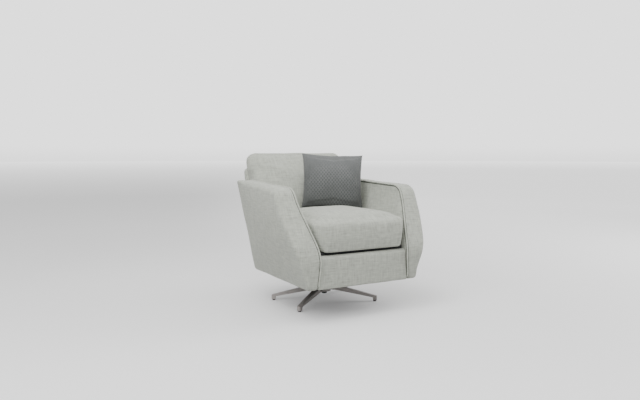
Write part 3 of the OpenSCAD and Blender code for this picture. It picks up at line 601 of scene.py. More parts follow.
@dataclass(frozen=True)
class Outline:
    """A convex outline with rounded corners, sampled with the same points at every inset."""

    corners: Pairs
    radii: Sequence[float]
    arcs: Sequence[int]
    steps: Sequence[int]

    def points(self, inset: float = 0.0) -> Points:
        """Points of the outline.

        Args:
            inset: how far the outline moves inwards, in millimetres.

        Returns:
            An array of points, each corner's arc and then the side after it.
        """
        pts, turns, rows = np.array(self.corners, float), [], []
        sides = zip(np.roll(pts, 1, 0), pts, np.roll(pts, -1, 0), self.radii, self.arcs)
        for before, at, after, radius, arc in sides:
            a, b = unit(at - before), unit(after - at)
            a, b = np.array([-a[1], a[0]]), np.array([-b[1], b[0]])
            r = max(radius - inset, 2.0)
            turn = math.acos(np.clip(a @ b, -1, 1)) * np.arange(arc + 1) / arc + math.atan2(-a[1], -a[0])
            centre = at + (inset + r) * (a + b) / (1 + a @ b)
            turns.append(centre + r * np.stack([np.cos(turn), np.sin(turn)], 1))
        for turn, following, steps in zip(turns, turns[1:] + turns[:1], self.steps):
            share = np.arange(1, steps)[:, None] / steps
            rows += [turn, turn[-1] + (following[0] - turn[-1]) * share]
        return np.concatenate(rows)

    def shrunk(self, inset: float, centre: Sequence[float], factor: float) -> Points:
        """The outline at an inset, drawn towards a centre."""
        return shrunk(self.points(inset), centre, factor)


def shrunk(points: Points, centre: Sequence[float], factor: float) -> Points:
    """Points drawn towards a centre."""
    return np.array(centre, float) + (points - np.array(centre, float)) * factor


def smoothed(rings: Sequence[Points], parts: int) -> Points:
    """Rings filled in between by a Catmull-Rom curve through each row of points.

    Args:
        rings: control rings of equal length.
        parts: steps from one control ring to the next.

    Returns:
        The filled-in rings.
    """
    r = np.array(rings, float)
    ends, made = np.concatenate([r[:1], r, r[-1:]]), []
    for i in range(len(r) - 1):
        a, b, c, d = ends[i : i + 4]
        for t in np.arange(parts) / parts:
            made.append(0.5 * (2 * b + (c - a) * t + (2 * a - 5 * b + 4 * c - d) * t * t
                               + (3 * b - 3 * c + d - a) * t**3))
    return np.array(made + [r[-1]])


def mesh_object(name: str, points: Points, faces: Sequence[Sequence[int]]) -> Piece:
    """Makes a smooth-shaded mesh.

    Args:
        name: name of the piece.
        points: its points in millimetres.
        faces: the points of each face.

    Returns:
        The piece.
    """
    mesh = bpy.data.meshes.new(name)
    mesh.from_pydata((np.asarray(points) * MM).tolist(), [], faces)
    mesh.validate()
    mesh.shade_smooth()
    made = bpy.data.objects.new(name, mesh)
    bpy.context.scene.collection.objects.link(made)
    return made


def lofted(name: str, rings: Points) -> Piece:
    """Makes a closed skin through rings of equal length.

    Args:
        name: name of the piece.
        rings: the rings, in order.

    Returns:
        The piece.
    """
    m, n = rings.shape[:2]
    points = np.concatenate([rings.reshape(-1, 3), [rings[0].mean(0), rings[-1].mean(0)]])
    j, i = np.meshgrid(np.arange(m - 1), np.arange(n), indexing="ij")
    k = (i + 1) % n
    quads = np.stack([j * n + i, (j + 1) * n + i, (j + 1) * n + k, j * n + k], -1).reshape(-1, 4).tolist()
    caps = [[n * m, a, (a + 1) % n] for a in range(n)]
    caps += [[n * m + 1, (m - 1) * n + (a + 1) % n, (m - 1) * n + a] for a in range(n)]
    return mesh_object(name, points, quads + caps)


def merged(item: Piece, others: Sequence[Piece]) -> None:
    """Takes other pieces into a piece's mesh and removes them.

    Args:
        item: the piece that stays.
        others: the pieces taken in.
    """
    points, faces = [coordinates(item)], [list(p.vertices) for p in item.data.polygons]
    for other in others:
        start = sum(len(p) for p in points)
        faces += [[start + i for i in p.vertices] for p in other.data.polygons]
        points.append(coordinates(other))
        bpy.data.objects.remove(other)
    item.data.clear_geometry()
    item.data.from_pydata(np.concatenate(points).tolist(), [], faces)
    item.data.shade_smooth()


def coordinates(item: Piece, key: str = "co") -> Points:
    """Vertex coordinates of a piece's mesh in metres, or its vertex normals.

    Args:
        item: the piece, or one evaluated with its modifiers.
        key: co for coordinates, normal for normals.

    Returns:
        A row for each vertex.
    """
    values = np.empty(len(item.data.vertices) * 3, np.float32)
    item.data.vertices.foreach_get(key, values)
    return values.reshape(-1, 3).astype(float)


def place_points(item: Piece, co: Points) -> None:
    """Writes vertex coordinates, in metres."""
    item.data.vertices.foreach_set("co", co.astype(np.float32).ravel())
    item.data.update()


def rumpled(item: Piece, waves: Pairs, seed: float, mask: Callable[[Points], Points] | None = None) -> None:
    """Moves a skin gently in and out along its normals.

    Args:
        item: the piece.
        waves: wavelength and height of each layer, in millimetres.
        seed: shifts the pattern.
        mask: gives the share of the movement at points in millimetres.
    """
    co, lift = coordinates(item), 0.0
    shift = Vector((seed, seed * 0.37, -seed * 0.61))
    for length, height in waves:
        lift = lift + height * np.array([noise.noise(Vector(p) / (length * MM) + shift) for p in co])
    if mask is not None:
        lift = lift * mask(co / MM)
    place_points(item, co + coordinates(item, "normal") * (lift * MM)[:, None])


def creased(item: Piece, path: Points, depth: float, width: float = 3.6) -> None:
    """Draws a seam's hollow into a skin along a path.

    Args:
        item: the piece.
        path: points along the seam, in millimetres.
        depth: depth of the hollow, in millimetres.
        width: half width of the hollow, in millimetres.
    """
    co, near = coordinates(item), []
    for block in np.array_split(co, max(1, len(co) // 4000)):
        near.append(np.linalg.norm(block[:, None] / MM - path[None], axis=2).min(1))
    hollow = np.exp(-((np.concatenate(near) / width) ** 2))
    place_points(item, co - coordinates(item, "normal") * (hollow * depth * MM)[:, None])


def tube(name: str, path: Points, radius: float, sides: int = 14) -> Piece:
    """Makes a round cord along a path, closed by rounded ends.

    Args:
        name: name of the piece.
        path: centre line in millimetres.
        radius: radius in millimetres.
        sides: sides of the cord.

    Returns:
        The piece.
    """
    ahead = np.gradient(path, axis=0)
    ahead /= np.linalg.norm(ahead, axis=1)[:, None]
    side, turn, rings = np.cross(ahead[0], [0.31, 0.55, 0.77]), circle(sides)[:, None], []
    for centre, way in zip(path, ahead):
        side = unit(side - way * (side @ way))
        rings.append(centre + radius * (np.cos(turn) * side + np.sin(turn) * np.cross(way, side)))
    ends = [path[i] + (rings[i] - path[i]) * 0.6 + ahead[i] * radius * out for i, out in ((0, -0.7), (-1, 0.7))]
    return lofted(name, np.array([ends[0], *rings, ends[1]]))


def path_smoothed(points: Points, spacing: float) -> Points:
    """Even points along a path.

    Args:
        points: the path's points.
        spacing: distance between the new points, in the same units.

    Returns:
        The new points.
    """
    lengths = np.concatenate([[0], np.cumsum(np.linalg.norm(np.diff(points, axis=0), axis=1))])
    at = np.linspace(0, lengths[-1], max(2, int(lengths[-1] / spacing)))
    return np.stack([np.interp(at, lengths, column) for column in points.T], 1)


@dataclass(frozen=True)
class BodyForm:
    """Sizes of the upholstered body in millimetres, and the surfaces that they give."""

    body_z: float = 160
    arm_front: float = 397
    knee_out: float = 13
    knee_rise: float = 162
    shoulder_back: float = 166
    shoulder_z: float = 634
    arm_rear_z: float = 657
    arm_back: float = 261
    arm_lean: float = 24
    in_foot: float = 262
    in_waist: float = 253
    waist_rise: float = 130
    in_top: float = 320
    in_flare_z: float = 625
    out_foot: float = 315
    out_top: float = 422
    out_rear_top: float = 412
    out_flare_z: float = 600
    toe: float = 0.03
    rake: float = 15.5
    back_foot: float = 253
    seat_z: float = 332
    back_len: float = 577
    cushion_rear: float = -40.5
    cushion_depth: float = 131

    @property
    def lean(self) -> float:
        """Lean of the back in radians."""
        return math.radians(self.rake)

    @property
    def knee_y(self) -> float:
        """Depth of the arm's knee."""
        return -self.arm_front - self.knee_out

    @property
    def shoulder_y(self) -> float:
        """Depth of the arm's upper front corner."""
        return self.knee_y + self.shoulder_back

    def toed(self, x: Points, y: Points) -> Points:
        """A half width, less the sides' turning in towards the back."""
        return x - self.toe * (y + self.arm_front)

    def arm_in(self, z: Points) -> Points:
        """Half width between the arms in front.

        Args:
            z: heights.

        Returns:
            A half width for each height.
        """
        waist_z = self.body_z + self.waist_rise
        low = self.in_foot - (self.in_foot - self.in_waist) * ease((z - self.body_z) / self.waist_rise)
        high = self.in_waist + (self.in_top - self.in_waist) * ease((z - waist_z) / (self.in_flare_z - waist_z))
        return np.where(z < waist_z, low, high)

    def arm_out(self, z: Points) -> Points:
        """Half width over the arms in front, at each height."""
        t = np.clip((z - self.body_z) / (self.out_flare_z - self.body_z), 0, 1)
        return self.out_foot + (self.out_top - self.out_foot) * np.sin(t * math.pi / 2) ** 1.08

    def inside(self, y: Points, z: Points) -> Points:
        """The arm's inner face."""
        return self.toed(self.arm_in(z), y)

    def outside(self, y: Points, z: Points) -> Points:
        """The arm's outer face.

        Args:
            y: depths.
            z: heights.

        Returns:
            A half width for each pair.
        """
        up = (z - self.body_z) / (self.arm_rear_z - self.body_z)
        rear = self.out_foot + (self.out_rear_top - self.out_foot) * up
        t = np.clip((y - self.shoulder_y) / (self.arm_back - self.shoulder_y), 0, 1) ** 1.3
        return self.toed(self.arm_out(z) + (rear - self.arm_out(z)) * t, y)

    def room(self, p: Points) -> Points:
        """How far points lie from the arms' inner faces, less than 0 within an arm."""
        return self.inside(p[:, 1], p[:, 2]) - np.abs(p[:, 0])

    def back_y(self, z: float, y: float) -> float:
        """Depth of the leaning back at a height, y millimetres behind its outside face."""
        return self.back_foot + (z - self.body_z) * math.tan(self.lean) + y / math.cos(self.lean)

    def back_half(self, s: Points) -> Points:
        """Half width of the back between the arms, s millimetres up its lean."""
        z = self.body_z + s * math.cos(self.lean)
        return self.inside(self.back_y(z, 0), z)

    def leaned(self, x: Points, y: Points | float, s: Points | float) -> Points:
        """Points given in the back's own leaning frame: across, behind and up."""
        c, n = math.cos(self.lean), math.sin(self.lean)
        x, y, s = np.broadcast_arrays(np.asarray(x, float), y, s)
        return np.stack([x, self.back_foot + y * c + s * n, self.body_z - y * n + s * c], -1)


FORM = BodyForm()


@dataclass(frozen=True)
class Wardrobe:
    """The finishes of the chair's visible cloth."""

    cloth: bpy.types.Material
    cord: bpy.types.Material
    lattice: bpy.types.Material
    # dark thread for the arms' seam lines, which also paints shade along their inner edges
    thread: bpy.types.Material


def dressed(item: Piece, finish: bpy.types.Material, node: str | None = None,
            body: Ride = Ride.CHAIR) -> Piece:
    """Gives a piece its finish and its place in the frame.

    Args:
        item: the piece.
        finish: its material.
        node: the CAD node that it stands for.
        body: the CAD body that it rides on.

    Returns:
        The piece.
    """
    item.data.materials.clear()
    item.data.materials.append(finish)
    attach(item, body.value)
    if node is not None:
        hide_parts(node)
    log.info("%s: %d faces", item.name, len(item.data.polygons))
    return item


@dataclass(frozen=True)
class Arm:
    """One upholstered arm with the piping and fine seams on its inner edge.

    A ditch seam is given by its inset from the outline, its depth behind the inner face and its radius. The
    first is a dark stitch line down in the piping's groove, its darkness partly painted shade of the groove; the
    second, wide one lies on the inner face as painted shade, a dark line for the gap beside the cushions.
    """

    side: Side
    edge_r: float = 25
    notch: float = 10
    bulge: float = 4
    middle: tuple[float, float] = (-40, 400)
    foot_softness: float = 0.3
    rear_softness: float = 0.4
    cord_r: float = 3.8
    cord_seat: float = 1.3
    # a stitch line in the groove, partly painted shade, then a wide dark line on the inner face that is painted
    # shade
    seam_and_shade_lines: Sequence[Triple] = ((1.4, 7.8, 1.0), (8.2, 0.8, 2.8))
    radii: Sequence[float] = (24, 16, 72, 190, 20)
    arcs: Sequence[int] = (8, 8, 18, 26, 8)
    steps: Sequence[int] = (34, 34, 20, 3, 44)
    groove: Pairs = ((0.93, 0.02), (0.86, 0.1), (0.82, 0.25), (0.77, 0.45), (0.7, 0.6), (0.6, 0.7),
                     (0.45, 0.77), (0.25, 0.82), (0.1, 0.86), (0.02, 0.93), (0, 1.05))
    rumple: Pairs = ((170, 2.0), (70, 1.1), (30, 0.45))

    @property
    def word(self) -> str:
        """Left or right."""
        return self.side.name.lower()

    @property
    def outline(self) -> Outline:
        """The arm's outline seen from the side."""
        f = FORM
        corners = ((f.arm_back, f.body_z), (f.arm_back + f.arm_lean, f.arm_rear_z), (f.shoulder_y, f.shoulder_z),
                   (f.knee_y, f.body_z + f.knee_rise), (-f.arm_front, f.body_z))
        return Outline(corners, self.radii, self.arcs, self.steps)

    def inner(self, p: Points, depth: float) -> Points:
        """Points a given depth behind the inner face."""
        return np.stack([FORM.toed(FORM.arm_in(p[:, 1]) + depth, p[:, 0]), p[:, 0], p[:, 1]], 1)

    def inner_ring(self, inset: float, factor: float, depth: float) -> Points:
        """A ring on the arm's inner side."""
        return self.inner(self.outline.shrunk(inset, self.middle, factor), depth)

    def outer_ring(self, inset: float, factor: float, depth: float) -> Points:
        """A ring on the arm's outer side, whose edge is tighter underneath and behind.

        Args:
            inset: how far it lies inside the arm's outline.
            factor: its size, as a share.
            depth: how far it lies behind the outer face.

        Returns:
            The ring's points.
        """
        edge, within = self.outline.points(0), self.outline.points(inset)
        foot = self.foot_softness + (1 - self.foot_softness) * ease((edge[:, 1] - FORM.body_z - 5) / 60)
        rear = 1 - (1 - self.rear_softness) * ease((edge[:, 0] - FORM.arm_back + 60) / 60)
        soft = np.minimum(foot, rear)
        p = shrunk(edge + (within - edge) * soft[:, None], self.middle, factor)
        depth = depth * soft if depth > 0 else depth
        return np.stack([FORM.outside(p[:, 0], p[:, 1]) - depth, p[:, 0], p[:, 1]], 1)

    def loose(self, p: Points) -> Points:
        """Share of the rumpling at points: little on the inner face, none along the piping."""
        room = FORM.room(p)
        return ease((-room - 9) / 14) + 0.35 * ease((room + 2) / 2)

    def skin(self) -> Piece:
        """Makes the arm's padded cover.

        Returns:
            The cover.
        """
        n, r = self.notch, self.edge_r
        rings = [self.inner_ring(n, f, 0.0) for f in (0.12, 0.3, 0.5, 0.7, 0.85, 0.94, 1.0)]
        rings += [self.inner_ring(n * a, 1, n * b) for a, b in self.groove]
        rings += [self.inner_ring(0, 1, n + d) for d in (3, 6, 8, 9, 10, 11, 12, 14)]
        rings += [self.outer_ring(0, 1, r + 8)]
        rings += [self.outer_ring(r * (1 - math.cos(a)), 1, r * (1 - math.sin(a)))
                  for a in np.radians(np.arange(0, 91, 7.5))]
        rings += [self.outer_ring(r, f, -self.bulge * (1 - f * f))
                  for f in (0.96, 0.9, 0.8, 0.68, 0.54, 0.4, 0.25, 0.1)]
        made = lofted(f"{self.word}_arm_cover", np.array(rings) * [self.side.value, 1, 1])
        if self.side is Side.LEFT:
            made.data.flip_normals()
        rumpled(made, self.rumple, 4.0 + self.side.value, self.loose)
        return made

    def edge_path(self, inset: float, depth: float) -> Points:
        """A line along the arm's inner edge, from the rear of the top round to the foot.

        Args:
            inset: how far it lies inside the arm's outline.
            depth: how far it lies behind the inner face.

        Returns:
            Points 4 mm apart.
        """
        arcs, steps = self.arcs, self.steps
        first, last = arcs[0] + steps[0] + 4, sum(arcs[:4]) + sum(steps[:4])
        path = self.inner(self.outline.points(inset)[first : last + 1], depth)
        return path_smoothed(path, 4.0) * [self.side.value, 1, 1]

    def build(self, wardrobe: Wardrobe) -> None:
        """Builds the arm's cover, piping and dark seam lines, which are partly painted shade.

        Args:
            wardrobe: the chair's cloth finishes.
        """
        dressed(self.skin(), wardrobe.cloth, f"{self.word}_arm")
        cord = tube(f"{self.word}_arm_cord", self.edge_path(self.cord_seat, self.cord_seat), self.cord_r)
        dressed(cord, wardrobe.cord, f"{self.word}_arm_piping")
        # dark thread tubes: a stitch line in the groove and a wide painted shade line beside the cushions
        for i, (inset, depth, radius) in enumerate(self.seam_and_shade_lines, 1):
            seam = tube(f"{self.word}_arm_ditch_seam_{i}", self.edge_path(inset, depth), radius, 8)
            dressed(seam, wardrobe.thread)


@dataclass(frozen=True)
class FrontBorder:
    """The padded panel below the seat cushion. Its ends give the place across and the inset of each ring."""

    front_y: float = -395
    back_y: float = -362
    height: float = 158
    top_r: float = 20
    foot_r: float = 8
    gap: float = 1.5
    crown: float = 2.5
    ends: Pairs = ((0.982, 0.0), (0.991, 0.7), (0.9975, 2.2), (1.0, 5.0))
    rumple: Pairs = ((130, 1.6), (45, 0.7), (20, 0.2))

    def ring(self, across: float, inset: float) -> Points:
        """A ring round the panel.

        Args:
            across: its place, from -1 to 1.
            inset: how far it lies inside the panel's section.

        Returns:
            The ring's points.
        """
        z0, z1 = FORM.body_z, FORM.body_z + self.height
        corners = ((self.front_y, z1), (self.front_y, z0), (self.back_y, z0), (self.back_y, z1))
        section = Outline(corners, (self.top_r, self.foot_r, 3, 3), (12, 6, 3, 3), (18, 4, 18, 4))
        y, z = section.points(inset).T
        half = FORM.inside(self.back_y, z) - self.gap
        proud = self.crown * (1 - across**4) * np.sin(np.clip((z - z0) / self.height, 0, 1) * math.pi)
        return np.stack([across * half, y - np.where(y < self.front_y + 12, proud, 0), z], 1)

    def loose(self, p: Points) -> Points:
        """Share of the rumpling at points: the front face alone."""
        return ease((self.front_y + 24 - p[:, 1]) / 20) * ease(FORM.room(p) / 30)

    def build(self, wardrobe: Wardrobe) -> None:
        """Builds the panel.

        Args:
            wardrobe: the chair's cloth finishes.
        """
        places = [(-t, inset) for t, inset in self.ends[::-1]]
        places += [*((t, 0.0) for t in np.linspace(-0.96, 0.96, 61)), *self.ends]
        made = lofted("front_border_cover", np.array([self.ring(*place) for place in places]))
        rumpled(made, self.rumple, 9.0, self.loose)
        dressed(made, wardrobe.cloth, "front_border")


@dataclass(frozen=True)
class BackPanels:
    """The upholstered back rest and the panel that closes it behind."""

    thickness: float = 40
    panel_t: float = 8
    wrap_t: float = 3
    wrap_d: float = 40
    wrap_edge: float = 0.9
    corner_r: float = 24
    rest_foot: float = 162
    edge_r: float = 14
    clear: float = 0.5

    def outline(self, foot: float) -> Points:
        """Outline between the arms, from a height along the lean upwards.

        Args:
            foot: where it starts, up the lean.

        Returns:
            Points across and up the lean.
        """
        length, r = FORM.back_len, self.corner_r
        turn = np.radians(np.arange(9, 91, 9))
        s = np.concatenate([foot + (length - r - foot) * np.linspace(0, 1, 44), length - r * (1 - np.sin(turn))])
        drawn_in = np.concatenate([np.zeros(44), r * (1 - np.cos(turn))])
        half = np.stack([FORM.back_half(s) - self.clear - drawn_in, s], 1)
        left = half[::-1] * [-1, 1]
        spans = ((half[-1, 0], -half[-1, 0], half[-1, 1]), (left[-1, 0], half[0, 0], foot))
        top, base = (np.stack([np.linspace(a, b, 40), np.full(40, level)], 1)[1:-1] for a, b, level in spans)
        return np.concatenate([half, top, left, base])

    def slab(self, name: str, foot: float, layers: Pairs, crown: float) -> Piece:
        """Makes a padded slab in the leaning frame.

        Args:
            name: name of the piece.
            foot: where it starts, up the lean.
            layers: depth and inset of each ring, from behind forwards.
            crown: how far the rear face stands proud in the middle.

        Returns:
            The slab.
        """
        edge, length = self.outline(foot), FORM.back_len
        centre, size = np.array([0, (foot + length) / 2]), np.array([FORM.back_half(length), (length - foot) / 2])
        shares = (0.1, 0.3, 0.5, 0.7, 0.85, 0.95)
        rings = [(layers[0][0] + crown * (1 - f**4), layers[0][1], f) for f in shares]
        rings += [(y, inset, 1.0) for y, inset in layers]
        rings += [(*layers[-1], f) for f in shares[::-1]]
        made = []
        for y, inset, f in rings:
            p = centre + (edge - centre) * (1 - inset / size) * f
            made.append(FORM.leaned(p[:, 0], y, p[:, 1]))
        return lofted(name, np.array(made))

    def rounded(self, rear: float, front: float, r_rear: float, r_front: float) -> list[tuple[float, float]]:
        """Depths and insets of a slab with rounded rims."""
        arc = [(1 - math.cos(a), 1 - math.sin(a)) for a in np.radians(np.arange(0, 91, 15))]
        return [*((rear - r_rear * c, r_rear * s) for c, s in arc),
                *((front + r_front * s, r_front * c) for c, s in arc)]

    def wrap(self, side: Side) -> Piece:
        """Makes the outside back's cloth turned forwards round one side, below the back rest.

        Args:
            side: the side.

        Returns:
            The wrap.
        """
        e, near, far = self.wrap_edge, -self.panel_t + 1, -self.panel_t - self.wrap_d
        depths = np.linspace(near - e, far + e, 12)
        behind = np.array([e, *[0] * 12, e, self.wrap_t - e, *[self.wrap_t] * 12, self.wrap_t - e])
        y = np.array([near, *depths, far, far, *depths[::-1], near])
        rings = [FORM.leaned(FORM.back_half(s) - self.clear - behind, y, s) * [side.value, 1, 1]
                 for s in np.linspace(0.4, self.rest_foot - self.clear, 30)]
        made = lofted("wrap", np.array(rings))
        if side is Side.RIGHT:
            made.data.flip_normals()
        return made

    def loose(self, p: Points) -> Points:
        """Share of the rumpling at points: none along the arms."""
        return ease(FORM.room(p) / 12)

    def build(self, wardrobe: Wardrobe) -> None:
        """Builds both panels.

        Args:
            wardrobe: the chair's cloth finishes.
        """
        rest = self.slab("back_rest_cover", self.rest_foot,
                         self.rounded(-self.panel_t - 0.2, -self.thickness, 2.0, self.edge_r), 0.0)
        panel = self.slab("outside_back_cover", 0.0, self.rounded(0.0, -self.panel_t + 0.2, 4.5, 2.0), 2.0)
        rumpled(panel, [(190, 1.3), (70, 0.6)], 21.0, self.loose)
        merged(panel, [self.wrap(side) for side in Side])
        dressed(rest, wardrobe.cloth, "back_rest")
        dressed(panel, wardrobe.cloth, "outside_back")


def modified(item: Piece, kind: str, **settings: object) -> None:
    """Applies one modifier to a piece's mesh.

    Args:
        item: the piece.
        kind: Blender's modifier type.
        settings: the modifier's settings.
    """
    modifier = item.modifiers.new(kind.lower(), kind)
    for key, value in settings.items():
        setattr(modifier, key, value)
    evaluated = item.evaluated_get(bpy.context.evaluated_depsgraph_get())
    old, mesh = item.data, bpy.data.meshes.new_from_object(evaluated)
    item.modifiers.clear()
    item.data = mesh
    bpy.data.meshes.remove(old)
    mesh.shade_smooth()


@dataclass(frozen=True)
class Stuffing:
    """How a cushion's cover is filled out by cloth simulation, in millimetres.

    The cover starts inset. A point ends proud of the mean, pulled in or moved sideways by its cap at most.
    """

    voxel: float
    inset: float
    pressure: float
    proud: float
    pull: float
    slack: float
    frames: int = 20
    sideways: float = 2.0

    def simulated(self, item: Piece) -> Points:
        """Runs the cloth simulation.

        Args:
            item: the cushion, with its cover at the start.

        Returns:
            The cover's points at the end, in metres.
        """
        scene, modifier = bpy.context.scene, item.modifiers.new("cover", "CLOTH")
        settings = {"quality": 4, "mass": 0.3, "tension_stiffness": 12, "compression_stiffness": 12,
                    "shear_stiffness": 6, "bending_stiffness": 0.4, "shrink_min": -self.slack,
                    "use_pressure": True, "uniform_pressure_force": self.pressure}
        for key, value in settings.items():
            setattr(modifier.settings, key, value)
        modifier.settings.effector_weights.gravity = 0
        modifier.collision_settings.use_collision = False
        modifier.point_cache.frame_start, modifier.point_cache.frame_end = 1, self.frames
        for number in range(1, self.frames + 1):
            scene.frame_set(number)
        moved = coordinates(item.evaluated_get(bpy.context.evaluated_depsgraph_get()))
        item.modifiers.remove(modifier)
        scene.frame_set(1)
        return moved

    def fill(self, item: Piece) -> None:
        """Inflates the cover and caps how far it moves.

        Args:
            item: the cushion's closed skin.
        """
        out = coordinates(item, "normal")
        start = coordinates(item) - out * self.inset * MM
        place_points(item, start)
        bpy.context.scene.frame_set(1)
        shift = self.simulated(item) - start
        along = (shift * out).sum(1)
        across = shift - out * along[:, None]
        length = np.linalg.norm(across, axis=1)
        across *= np.minimum(1, self.sideways * MM / np.maximum(length, 1e-9))[:, None]
        rise = along - along.mean()
        cap = np.where(rise > 0, self.proud, self.pull) * MM
        along = cap * np.tanh(rise / cap) + self.inset * MM
        place_points(item, start + out * along[:, None] + across)


def tree_of(item: Piece) -> BVHTree:
    """A search tree of a piece's faces, in world coordinates."""
    points = [item.matrix_world @ v.co for v in item.data.vertices]
    return BVHTree.FromPolygons(points, [tuple(p.vertices) for p in item.data.polygons])


def clear_of(item: Piece, others: Sequence[Piece], gap: float, reach: float = 14.0) -> int:
    """Presses a soft piece flat where it would enter its neighbours.

    Args:
        item: the soft piece.
        others: what it rests against.
        gap: distance to keep, in millimetres.
        reach: how deep a point may lie and still be moved out, in millimetres.

    Returns:
        The number of points moved.
    """
    world, co, moved = item.matrix_world, coordinates(item), 0
    back = world.inverted()
    for tree in map(tree_of, others):
        for i, local in enumerate(co):
            point = world @ Vector(local)
            found, normal, _, _ = tree.find_nearest(point, reach * MM)
            if found is not None and (point - found).dot(normal) < gap * MM:
                co[i] = back @ (found + normal * gap * MM)
                moved += 1
    place_points(item, co)
    return moved


def sunk_under(item: Piece, load: Piece, gap: float, spread: float) -> float:
    """Lets a cushion's top give way smoothly under what stands on it.

    Args:
        item: the cushion.
        load: the piece that stands on it.
        gap: distance to keep, in millimetres.
        spread: how far the hollow spreads, in millimetres.

    Returns:
        The deepest hollow in millimetres.
    """
    co, tree, world = coordinates(item), tree_of(item), np.array(load.matrix_world)
    feet, depths = [], []
    for point in coordinates(load) @ world[:3, :3].T + world[:3, 3]:
        top, _, _, _ = tree.ray_cast(Vector((point[0], point[1], 2.0)), Vector((0, 0, -1)))
        if top is not None and top.z + gap * MM > point[2]:
            feet.append(point[:2])
            depths.append(top.z + gap * MM - point[2])
    if not feet:
        return 0.0
    upward = np.flatnonzero(coordinates(item, "normal")[:, 2] > 0.3)
    for block in np.array_split(upward, max(1, len(upward) // 2000)):
        apart = np.linalg.norm(co[block, None, :2] - np.array(feet)[None], axis=2) / (spread * MM)
        co[block, 2] -= (depths * np.exp(-apart * apart)).max(1)
    place_points(item, co)
    return max(depths) / MM


@dataclass(frozen=True)
class Cover:
    """How a box cushion's cover is filled, rumpled and seamed. Its foot and sides stay smooth for a margin."""

    stuffing: Stuffing
    rumple: Pairs
    seed: float
    foot_margin: float
    side_margin: float
    seam_depth: float

    def loose(self, p: Points) -> Points:
        """Share of the rumpling at points."""
        foot = ease((p[:, 2] - FORM.seat_z - self.foot_margin) / 20)
        return foot * ease((FORM.room(p) - self.side_margin) / 10)

    def made(self, name: str, rings: Sequence[Points], seams: Sequence[Points]) -> Piece:
        """Makes the cover.

        Args:
            name: name of the piece.
            rings: control rings of its skin.
            seams: paths of its seams.

        Returns:
            The cover.
        """
        item = lofted(name, smoothed(rings, 6))
        modified(item, "REMESH", mode="VOXEL", voxel_size=self.stuffing.voxel * MM, use_smooth_shade=True)
        self.stuffing.fill(item)
        modified(item, "SUBSURF", levels=1, render_levels=1)
        rumpled(item, self.rumple, self.seed, self.loose)
        for path in seams:
            creased(item, path, self.seam_depth)
        return item


@dataclass(frozen=True)
class SeatCushion:
    """The loose box cushion that the sitter sits on."""

    thickness: float = 150
    crown: float = 36
    gap: float = 10
    rear_gap: float = 19.5
    follow: float = 0.75
    corner_pull: float = 20
    corner_run: float = 62
    sag: float = 6
    sag_run: float = 30
    ref: float = 250
    front_y: float = -399
    swell: float = 4
    radii: Sequence[float] = (35, 35, 24, 24)
    arcs: Sequence[int] = (12, 12, 8, 8)
    steps: Sequence[int] = (60, 60, 60, 60)
    cover: Cover = Cover(Stuffing(6.5, 3.0, 4.0, 4.0, 4.0, 0.012),
                         ((150, 2.2), (60, 1.1), (24, 0.35)), 31.0, 6, 4, 1.4)

    @property
    def rear_y(self) -> float:
        """Depth of the rear face at the foot, clear of the back cushion."""
        return FORM.back_y(FORM.seat_z, FORM.cushion_rear - FORM.cushion_depth) - self.rear_gap

    def ring(self, inset: float, factor: float, z: float, crown: float = 0.0) -> Points:
        """A ring of the cushion, which follows the arms and has its front corners drawn in.

        Args:
            inset: how far it lies inside the cushion's outline.
            factor: its size, as a share.
            z: its height.
            crown: how far its middle stands up.

        Returns:
            The ring's points.
        """
        r, front, rear = self.ref, self.front_y, self.rear_y
        outline = Outline(((-r, front), (r, front), (r, rear), (-r, rear)), self.radii, self.arcs, self.steps)
        p = outline.shrunk(inset, (0.0, (front + rear) / 2), factor)
        u, up = p[:, 0] / r, z - FORM.seat_z
        y = p[:, 1] + math.tan(FORM.lean) * up * (p[:, 1] - front) / (rear - front)
        half = FORM.in_waist + self.follow * (FORM.arm_in(np.full(len(y), z)) - FORM.in_waist)
        half = FORM.toed(half, y) - self.gap
        rise = 0.5 + 0.5 * np.clip(up / self.thickness, 0, 1)
        half -= self.corner_pull * rise * ease((front + self.corner_run - y) / self.corner_run)
        sunk = self.sag * ease((front + self.sag_run + 6 - y) / self.sag_run) * (1 - ease(up / 45))
        return np.stack([u * half, y, z - sunk + crown * (1 - np.abs(u) ** 5)], 1)

    def rings(self) -> list[Points]:
        """Control rings from the middle of the foot round to the middle of the top."""
        z0, z1 = FORM.seat_z, FORM.seat_z + self.thickness
        places = [(12, f, z0) for f in (0.2, 0.45, 0.8)]
        places += [(17, 1, z0 + 1), (6, 1, z0 + 6), (0.5, 1, z0 + 17),
                   (-self.swell, 1, z0 + self.thickness * 0.36), (1, 1, z1 - 40), (9, 1, z1 - 15), (26, 1, z1)]
        places += [(26, f, z1, self.crown * (1 - f**3.2)) for f in (0.9, 0.72, 0.48, 0.24, 0.1)]
        return [self.ring(*place) for place in places]

    def seams(self) -> list[Points]:
        """The two seams that run up the front corners and back along the sides.

        Returns:
            A path for each side.
        """
        z0, z1 = FORM.seat_z, FORM.seat_z + self.thickness
        places = ((6, z0 + 2), (0, z0 + 12), (-1, z0 + 40), (-self.swell, z0 + 63), (-1.5, z0 + 85), (0, z1 - 34),
                  (8, z1 - 14), (15, z1 - 7))
        rings, half_arc = [self.ring(inset, 1, z) for inset, z in places], self.arcs[0] // 2
        along = np.arange(1, half_arc + self.steps[1] + 2)
        made = []
        for corner, way in ((half_arc, -1), (self.arcs[0] + self.steps[0] + half_arc, 1)):
            column = [ring[corner] for ring in rings]
            made.append(path_smoothed(np.array([*column, *rings[-1][corner + way * along]]), 3.0))
        return made

    def build(self, wardrobe: Wardrobe) -> Piece:
        """Builds the cushion.

        Args:
            wardrobe: the chair's cloth finishes.

        Returns:
            Its cover.
        """
        made = self.cover.made("seat_cushion_cover", self.rings(), self.seams())
        return dressed(made, wardrobe.cloth, "seat_cushion", body=Ride.SEAT)


